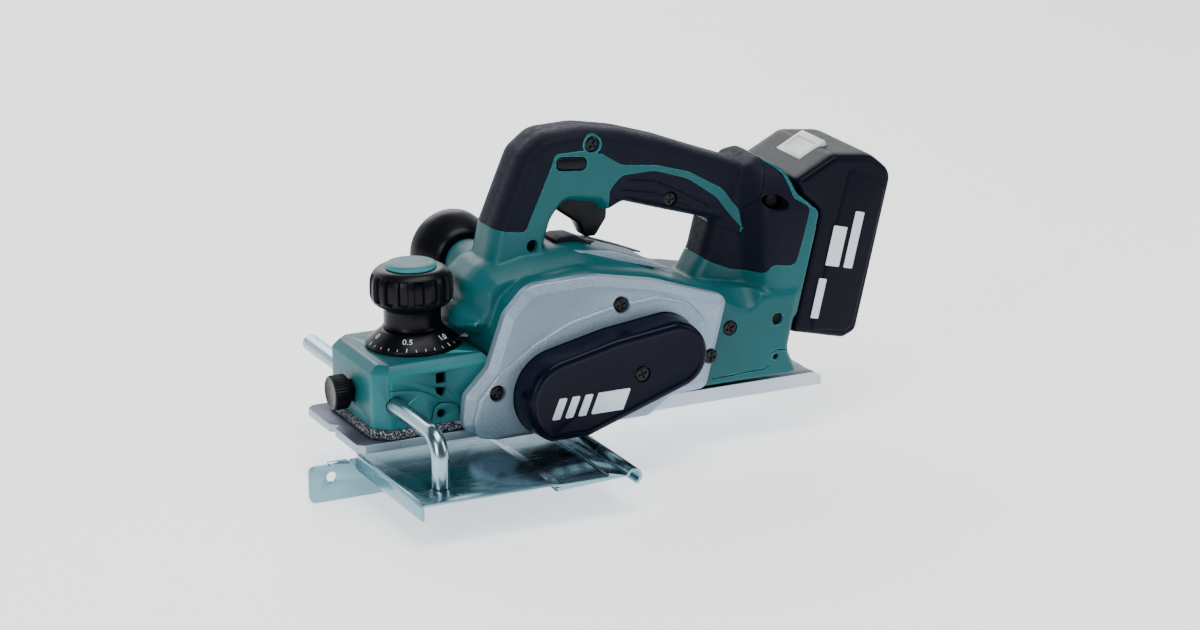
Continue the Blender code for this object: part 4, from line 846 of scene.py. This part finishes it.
def makeFoam():
    half, front = bracketShape["half"], bracketShape["front"]
    outer = arcs([(front + 7.5, -half + 0.5, 3), (-68, -half + 0.5, 2), (-68, half - 0.5, 2),
            (front + 7.5, half - 0.5, 3), (front + 0.5, half - 7.5, 3), (front + 0.5, -half + 7.5, 3)], 4)
    dense = resample(grow(outer, foamShape["bulge"]), foamShape["points"], (-100, 0))
    inner = grow(dense, -foamShape["width"])
    section = [(0.10, 6.85), (0.02, 7.3), (-0.03, 8.3), (-0.03, 10.1), (0.02, 11.2), (0.10, 11.65), (0.5, 11.68),
            (0.90, 11.65), (0.98, 11.2), (1.03, 10.1), (1.03, 8.3), (0.98, 7.3), (0.90, 6.85), (0.5, 6.82)]
    rings = []
    for index, (a, b) in enumerate(zip(dense, inner)):
        ripple = 0.02 * math.sin(index * 2.3) + 0.015 * math.sin(index * 0.71)
        rings.append([(a[0] + (b[0] - a[0]) * (s + ripple), a[1] + (b[1] - a[1]) * (s + ripple), z)
                for s, z in section])
    foam = smoothShade(loft("foamSeal", rings, ringClosed=True), 50)
    foam.data.materials.append(finishes["foam"])
    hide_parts("foam_seal")
    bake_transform(foam)


knobShape = {"flutes": 16, "fluteDepth": 2.1, "letterSize": 5, "marks": 21, "degreesPerMark": 12,
        "numerals": (("0", -90), ("0.5", -30), ("1.0", 30), ("1.5", 90), ("2.0", 150))}


def step(value, low, high):
    t = min(max((value - low) / (high - low), 0), 1)
    return t * t * (3 - 2 * t)


def makeKnob():
    place = (knobX, 0, 0)
    dial = lathe("depthDial", [(5.5, 58.8), (15.2, 58.8), (17.4, 58.2), (18.6, 57.2), (26.6, 50.9), (26.9, 50.4),
            (26.9, 49), (26.4, 48.7), (5.5, 48.7), (5.5, 58.8)], place, "z", 128)
    dress(dial, "black", "knob", "black", "depth_dial")

    def fluted(radius, height, angle):
        if not 73 < height < 94 or radius < 18:
            return radius
        phase = (angle / (2 * math.pi) * knobShape["flutes"]) % 1
        inside = step(phase, 0.18, 0.25) * (1 - step(phase, 0.75, 0.82))
        tall = step(height, 75.6, 76.6) * (1 - step(height, 89.4, 90.6))
        return radius - knobShape["fluteDepth"] * inside * tall

    heights = [(16.4, 93.5), (18.4, 93.2), (19.8, 92.4), (21.2, 91.2), (21.8, 90.6), (22.2, 90), (22.6, 89.4),
            (23, 88.4), (23.4, 87), (23.6, 85), (23.7, 83), (23.7, 81), (23.7, 79), (23.6, 77.4),
            (23.4, 76.6), (23.2, 76.1), (23, 75.6), (22.6, 74.8),
            (21.9, 73.6), (20.6, 72.6), (18.6, 71.9), (16.9, 70.8), (16.3, 69.4), (16.3, 61.4), (16.6, 60.2),
            (17.2, 59.4)]
    grip = lathe("knobGrip", [(5.5, 93.5)] + heights + [(5.5, 59.4), (5.5, 93.5)], place, "z", 384, fluted)
    dress(grip, "black", "knob", "black", "knob_grip", angle=50)
    cap = lathe("knobCap", [(0, 96.2), (6, 96.3), (12.4, 96.2), (13.8, 95.8), (14.5, 95), (14.7, 93.8),
            (0, 93.8)], place, "z", 96)
    dress(cap, "teal", "knob", "teal", "knob_cap")

    marks = []
    slope = math.atan2(57.2 - 50.9, 26.6 - 18.6)
    for label, around in knobShape["numerals"]:
        letters = bpy.data.curves.new("numeral", "FONT")
        letters.body = label
        letters.size = knobShape["letterSize"] * mm
        letters.align_x = "CENTER"
        letters.align_y = "CENTER"
        letters.extrude = 0.12 * mm
        letters.offset = -0.02 * mm
        holder = linked("numeral", letters)
        mesh = bpy.data.meshes.new_from_object(holder.evaluated_get(bpy.context.evaluated_depsgraph_get()))
        bpy.data.objects.remove(holder, do_unlink=True)
        turned = Matrix.Rotation(math.radians(around), 4, "Z")
        lean = Matrix.Rotation(slope, 4, "X")
        mesh.transform(Matrix.Translation((knobX * mm, 0, 0)) @ turned
                @ Matrix.Translation((0, -21.3 * mm, 55.16 * mm)) @ lean)
        marks.append(mesh)
    shape = bmesh.new()
    for mesh in marks:
        shape.from_mesh(mesh)
    for tick in range(knobShape["marks"]):
        around = math.radians(-90 + knobShape["degreesPerMark"] * tick)
        across = 0.16 if tick % 5 else 0.26
        length = 1.3 if tick % 5 else 1.9
        turned = Matrix.Rotation(around, 4, "Z")
        rise = length * math.tan(slope)
        corners = [turned @ Vector((x, -r, z + 0.06)) + Vector(place)
                for x, r, z in ((-across, 26.5, 50.98), (across, 26.5, 50.98),
                (across, 26.5 - length, 50.98 + rise), (-across, 26.5 - length, 50.98 + rise))]
        shape.faces.new([shape.verts.new(c * mm) for c in corners])
    mesh = bpy.data.meshes.new("dialPrint")
    shape.to_mesh(mesh)
    shape.free()
    dress(linked("dialPrint", mesh), "print", "knob", "grey")


makeBracket()
makeFoam()
makeKnob()
print("stage: bracket, foam and knob made")


# Sole, fence and clamp

shoeShape = {"low": 1.5, "high": 6.5, "half": 41}


def makeShoe():
    low, high, half = shoeShape["low"], shoeShape["high"], shoeShape["half"]
    plan = [(-53, -half), (-53, half), (-146, half), (-150, 37), (-150, 4.5), (-145.5, 0), (-150, -4.5),
            (-150, -37), (-146, -half)]
    shoe = slab("frontShoe", plan, low, high)
    roundEdges(shoe, 0.5, 3)
    rib = slab("shoeRib", [(-66, -35), (-66, 35), (-132, 35), (-132, -35)], high - 0.5, high + 0.2)
    boss = rod("shoeBoss", (knobX, 0, 6), (knobX, 0, 24), 9, 48)
    carve(shoe, boss, rib, how="UNION")
    carve(shoe, rod("shoeBore", (knobX, 0, 8.5), (knobX, 0, 30), 4.3),
            rod("veeGroove", (-155, 0, low), (-48, 0, low), 2.2, 4))
    for side in (-1, 1):
        carve(shoe, block("shoeLine", (-125.3, side * 41.4 - 0.9, 0), (-124.9, side * 41.4 + 0.9, 9)))
    dress(shoe, "cast", "shoe", "aluminium", "front_shoe")


fenceShape = {"top": -2, "sheet": 1.6, "joggle": 1.3, "front": -146.8, "hem": (-20, -5.6, 4.8), "rodY": -101,
        "rodRadius": 5, "bend": 13}


def makeFence():
    top, sheet, joggle, front = (fenceShape[key] for key in ("top", "sheet", "joggle", "front"))
    hemX, hemZ, hemRadius = fenceShape["hem"]
    rodY, bend = fenceShape["rodY"], fenceShape["bend"]
    low = top - sheet
    inner = hemRadius - sheet
    section = arcs([(front, -11.3), (front + sheet, -11.3), (front + sheet, low, 1), (-70, low, 3),
            (-64, low - joggle, 3), (-31, low - joggle, 1)], 6)
    section += [(hemX + inner * math.cos(a), hemZ + inner * math.sin(a))
            for a in (math.radians(d) for d in range(165, -76, -10))]
    section += [(hemX + hemRadius * math.cos(a), hemZ + hemRadius * math.sin(a))
            for a in (math.radians(d) for d in range(-75, 166, 8))]
    section += arcs([(-40, 0), (-30, top - joggle, 1), (-63.4, top - joggle, 3), (-70, top, 3),
            (front, top, 2.4), (front, -40)], 6)[1:-1]
    fence = plate("guideFence", section, -123.5, -29)
    face = plate("fenceFace", arcs([(-175.5, -5.4, 4), (-175.5, -27, 4), (-40, -27, 4), (-40, low - 1),
            (-150.5, low - 1), (-150.5, -5.4)], 8), -28.6, -27)
    carve(fence, face, block("fenceBend", (-146, -30, low - 1.4), (-72, -27.1, top - 0.1)),
            block("fenceTab", (-164, -32.5, -5.8), (-152.5, -27.02, -4.2)), how="UNION")
    carve(fence, rod("fenceHole", (-162, -40, -13), (-162, -10, -13), 3, 40),
            rod("fenceRodHole", (rodX, rodY, -10), (rodX, rodY, 5), 3.6, 40))
    roundEdges(fence, 0.3, 2, 50)
    dress(fence, "zinc", "fence", "zinc", "guide_fence")

    route = [(rodX, 94, rodZ), (rodX, -70, rodZ), (rodX, rodY + bend, rodZ)]
    route += [(rodX, rodY + bend - bend * math.sin(a), rodZ - bend + bend * math.cos(a))
            for a in (math.radians(7.5 * k) for k in range(1, 13))]
    route += [(rodX, rodY, -1.7)]
    bar = sweep("guideRod", route, fenceShape["rodRadius"], 40)
    carve(bar, rod("tenon", (rodX, rodY, 1), (rodX, rodY, -7), 3.2),
            lathe("rivet", [(0, -3.9), (5.2, -3.9), (5.2, -5.4), (4.4, -6.4), (2.6, -6.8), (0, -6.8)],
            (rodX, rodY, 0), "z", 40), how="UNION")
    roundEdges(bar, 0.45, 2, 60)
    dress(bar, "rodZinc", "fence", "zinc", "guide_rod")


clampShape = {"grooves": 36, "grooveDepth": 0.45}


def makeClamp():
    def knurl(radius, height, angle):
        if radius < 9 or not -149.8 < height < -141.4:
            return radius
        return radius - clampShape["grooveDepth"] * (0.5 + 0.5 * math.cos(angle * clampShape["grooves"]))
    profile = [(0, -150.2), (7.6, -150.2), (8.4, -150.5), (9.4, -150.2), (9.8, -149.6), (10, -149), (10, -142.2),
            (9.6, -141.4), (9, -140.9), (6.5, -140.8), (6.5, -137.8), (3, -137.8), (3, -131.2), (0, -131.2)]
    head = lathe("clampScrew", profile, (0, 0, rodZ), "x", 288, knurl)
    dress(head, "black", "clamp", "black", "clamp_screw", angle=50)


makeShoe()
makeFence()
makeClamp()
print("stage: sole, fence and clamp made")


# Controls, trims and nozzle

def makeControls():
    pull = crowned("triggerPull", arcs([(-12.5, 128), (-11, 116, 5), (2, 106.5, 6), (6, 98, 2),
            (12.5, 98, 3), (19.5, 108, 4), (20.5, 128)], 8),
            bothSides([(4.6, 0), (5.8, 0.25), (6.6, 0.8), (7, 1.6)]))
    dress(pull, "black", "trigger", "black", "trigger")
    lock = crowned("lockButton", arcs(bodyShape["lock"], 8),
            [(-18.4, 1.5), (-18.2, 0.9), (-17.6, 0.35), (-16.6, 0),
            (12.6, 0), (13.6, 0.5), (14, 1.3)])
    dress(lock, "black", "lock", "black", "lock_button")
    vent = crowned("ventTrim", arcs([(-14.2, 95.6, 0.5), (9, 91.2, 0.5), (9.4, 94.8, 2), (-2, 100.2, 8),
            (-10, 100.9, 3), (-14.4, 99.6, 1)], 6), bothSides([(7, 0), (8.4, 0.4), (9, 1.2)]))
    dress(vent, "rubber", "planer_body", "rubber", "vent_trim")
    for side, tag, node in ((-1, "Left", "side_trim_left"), (1, "Right", "side_trim_right")):
        line = arcs([(-9.4, 96.2, 0.4), (17.2, 91.2, 30), (37.2, 83.6, 30), (57, 75.2, 0.4), (42.3, 79, 30),
                (17.1, 86.9, 30), (1.1, 91, 6)], 8)
        blade = loft(f"sideTrim{tag}", [[(x, side * y, z) for x, z in grow(line, -inset)]
                for y, inset in ((18, 0), (20.9, 0), (21.5, 0.3))])
        dress(blade, "silver", "planer_body", "silver", node)
    profile = [(10.5, 43), (15.4, 43), (16.6, 43.5), (19, 47), (22, 53.4), (24, 58), (24.8, 62),
            (25, 66), (24.7, 67.4), (24, 68), (23, 67.8), (22.5, 67), (22.5, 60), (20, 54.4),
            (17, 50), (10.5, 46.5), (10.5, 43)]
    nozzle = lathe("chipNozzle", profile[::-1], (nozzleX, 0, nozzleZ), "y", 96)
    dress(nozzle, "black", "planer_body", "black", "chip_nozzle")
    foot = crowned("restFoot", arcs([(119, 12, 2), (119, 0.6, 0.5), (136.5, 0.6, 1), (137, 3.5, 1),
            (127, 12, 2)], 5), [(26.6, 0.4), (27, 0), (32, 0), (32.4, 0.4)])
    dress(foot, "black", "foot", "black", "rest_foot")


# Battery

batterySize = {"halfWidth": 37.5, "buttonCentre": (72.2, -0.2), "voxel": 0.8, "passes": 8, "ribs": 5}


def buttonOutline(halfLength, below, above):
    along, out = Vector((0.653, 0.758)), Vector((0.758, -0.653))
    centre = Vector(batterySize["buttonCentre"])
    corners = [centre + along * end * halfLength + out * level
            for end, level in ((-1, below), (1, below), (1, above), (-1, above))]
    return batteryShape([tuple(c) for c in corners])


def makeBattery():
    half = batterySize["halfWidth"]
    outline = batteryShape([(-32.5, 0.5, 3), (41.5, 0.5), (48, -11.5), (56.5, -18.5, 3), (59.5, -15, 3),
            (75, 3, 7), (78, 28, 12), (70, 43.5, 10), (-27, 43.5, 6), (-32.5, 36, 5)], 5)
    levels = bothSides([(0, 0), (half - 8, 0), (half - 4.5, 0.3), (half - 2.4, 1), (half - 1.4, 1.8),
            (half - 0.9, 2.6)])
    blocks = [crowned("caseBlock", outline, levels)]
    case = melt("batteryCase", blocks, batterySize["voxel"], batterySize["passes"])
    flank = arcs([(160.9, 126.6, 3), (179, 118.8, 6), (184, 110.8, 8), (163, 31.6, 5), (158.8, 28.8, 4),
            (134.6, 32.4, 4)], 6)
    for side, tag in ((-1, "left"), (1, "right")):
        raised = loft("flank" + tag, [[(x, side * y, z) for x, z in grow(flank, -inset)]
                for y, inset in ((half - 6, 0), (half - 1, 0), (half - 0.45, 0.2),
                (half - 0.12, 0.6), (half, 1.3))])
        carve(case, raised, how="UNION")
    contactRoom = batteryShape([(-40, -20), (-40, -1), (30, -1), (30, -20)])
    cellRoom = batteryShape([(-29, 3.5), (64, 3.5), (64, 40), (-29, 40)])
    carve(case, plate("contactRoom", contactRoom, -15, 15), plate("cellRoom", cellRoom, -34.5, 34.5),
            plate("buttonSeat", buttonOutline(10.05, -6.8, 4), -14.8, 14.8))
    for row in range(batterySize["ribs"]):
        up = -22 + 14 * row
        carve(case, plate("backRib", batteryShape([(up, 42.9), (up + 4, 42.9), (up + 4, 46), (up, 46)]), -26, 26))
    rail = plate("batteryRail", batteryShape([(-24, -12.5), (-24, 3), (50, 3), (50, -12.5)]), -24, 24)
    carve(rail, plate("railRoom", contactRoom, -15, 15), plate("railCells", cellRoom, -34.5, 34.5))
    joinMeshes(case, roundEdges(rail, 0.5, 2))
    dress(case, "darkBattery", "battery", "black", "battery_case")

    button = crowned("releaseButton", buttonOutline(9.75, -3.2, 0.6),
            bothSides([(13.6, 0), (14.2, 0.3), (14.5, 0.8)]))
    carve(button, plate("buttonStep", buttonOutline(5.2, -0.5, 3), -11.2, 11.2))
    roundEdges(button, 0.4, 3)
    dress(button, "grey", "battery_release", "grey", "release_button")

    # plain marks in place of the printed label
    face = -half
    for index, (up, out, width, height) in enumerate(((10, 12, 9, 24), (10, 24, 6, 34), (-22, 10, 5, 24))):
        mark = batteryShape([(up, out, 0.6), (up, out + width, 0.6), (up + height, out + width, 0.6),
                (up + height, out, 0.6)], 4)
        mark = crowned(f"batteryMark{index}", mark, [(face + 0.3, 0), (face + 0.02, 0), (face - 0.04, 0.1)])
        dress(mark, "print", "battery", "grey")


makeControls()
makeBattery()
print("stage: controls, trims, nozzle and battery made")


# The solids of the frame that stay in view or inside get finishes of their own

nodeSlots = {"rear_base": "aluminium", "cutter_drum": "steel", "blade_a": "steel", "blade_b": "steel",
        "blade_clamp_a": "steel", "blade_clamp_b": "steel", "drum_bearing_left": "steel",
        "drum_bearing_right": "steel", "motor_bearing_left": "steel", "motor_bearing_right": "steel",
        "drum_pulley": "aluminium", "motor_pulley": "aluminium", "drive_belt": "rubber", "motor_can": "steel",
        "motor_rotor": "copper", "motor_fan": "black", "chip_duct": "black", "depth_spindle": "steel",
        "switch_body": "black", "cell_pack": "cells", "terminal_block": "black"}
for node, finish in nodeSlots.items():
    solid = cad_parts[node]
    for slot in solid.material_slots:
        slot.material = finishes[finish]
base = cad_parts["rear_base"]
ease = base.modifiers.new("edges", "BEVEL")
ease.width = 0.35 * mm
ease.segments = 2
ease.limit_method = "ANGLE"
ease.angle_limit = math.radians(40)


# Floor, lights and camera

stageShape = {"floor": -27.2, "half": 6000, "front": -3500, "curveStart": 3200, "curve": 1600, "top": 5000,
        "glow": 1, "sky": 0.14}
lights = {      # place and aim in metres, size, power
    "overhead": ((0.1, -0.3, 1.5), (0, 0, 0.05), (1.3, 0.7), 18),
    "leftBox": ((-1.3, -0.9, 0.7), (0, 0, 0.05), (0.5, 1), 12),
    "rightBox": ((1.3, -0.8, 0.8), (0.05, 0, 0.05), (0.5, 0.9), 7),
    "backBox": ((0.2, 1.4, 0.9), (0, 0, 0.1), (1.2, 0.8), 10),
}


def makeStage():
    half, start, curve = stageShape["half"], stageShape["curveStart"], stageShape["curve"]
    profile = [(stageShape["front"], 0), (start, 0)]
    profile += [(start + curve * math.sin(a), curve - curve * math.cos(a))
            for a in (math.radians(6 * k) for k in range(1, 16))]
    profile += [(start + curve, stageShape["top"])]
    verts, faces = [], []
    for y, z in profile:
        verts += [(-half, y, z + stageShape["floor"]), (half, y, z + stageShape["floor"])]
    for k in range(len(profile) - 1):
        faces.append((2 * k, 2 * k + 1, 2 * k + 3, 2 * k + 2))
    sheet = smoothShade(addPiece("floorSheet", verts, faces), 60)
    m = Nodes("palePaper")
    m.colour(m.blend(m.noise(3, 2), (0.93, 0.935, 0.94), (0.92, 0.925, 0.93)))
    m.set(Roughness=0.55, Specular_IOR_Level=0.3, Emission_Strength=stageShape["glow"])
    m.shader.inputs["Emission Color"].default_value = (0.95, 0.975, 1, 1)
    sheet.data.materials.append(m.made)

    world = bpy.data.worlds.new("studio")
    world.use_nodes = True
    sky = world.node_tree.nodes["Background"]
    sky.inputs["Color"].default_value = (0.92, 0.96, 1, 1)
    sky.inputs["Strength"].default_value = stageShape["sky"]
    bpy.context.scene.world = world

    for name, (place, aim, size, power) in lights.items():
        lamp = bpy.data.lights.new(name, "AREA")
        lamp.shape = "RECTANGLE"
        lamp.size, lamp.size_y = size
        lamp.energy = power
        holder = linked(name, lamp)
        holder.location = place
        holder.rotation_euler = (Vector(aim) - Vector(place)).to_track_quat("-Z", "Y").to_euler()


cameraShape = {"azimuth": 24.75, "elevation": 17.13, "roll": -0.78, "distance": 2300, "target": (17.37, 0, 48.22),
        "focal": 119.4462, "sensor": 36}


def makeCamera():
    a, e = math.radians(cameraShape["azimuth"]), math.radians(cameraShape["elevation"])
    r = math.radians(cameraShape["roll"])
    view = Vector((math.sin(a) * math.cos(e), math.cos(a) * math.cos(e), -math.sin(e)))
    right = Vector((math.cos(a), -math.sin(a), 0))
    up = right.cross(view)
    axisX = right * math.cos(r) + up * math.sin(r)
    axisY = -right * math.sin(r) + up * math.cos(r)
    place = (Vector(cameraShape["target"]) - view * cameraShape["distance"]) * mm
    lens = bpy.data.cameras.new("camera")
    lens.lens = cameraShape["focal"]
    lens.sensor_width = cameraShape["sensor"]
    holder = linked("camera", lens)
    turn = Matrix((axisX, axisY, -view)).transposed().to_4x4()
    holder.matrix_world = Matrix.Translation(place) @ turn
    bpy.context.scene.camera = holder


makeStage()
makeCamera()
print("stage: floor, lights and camera set")
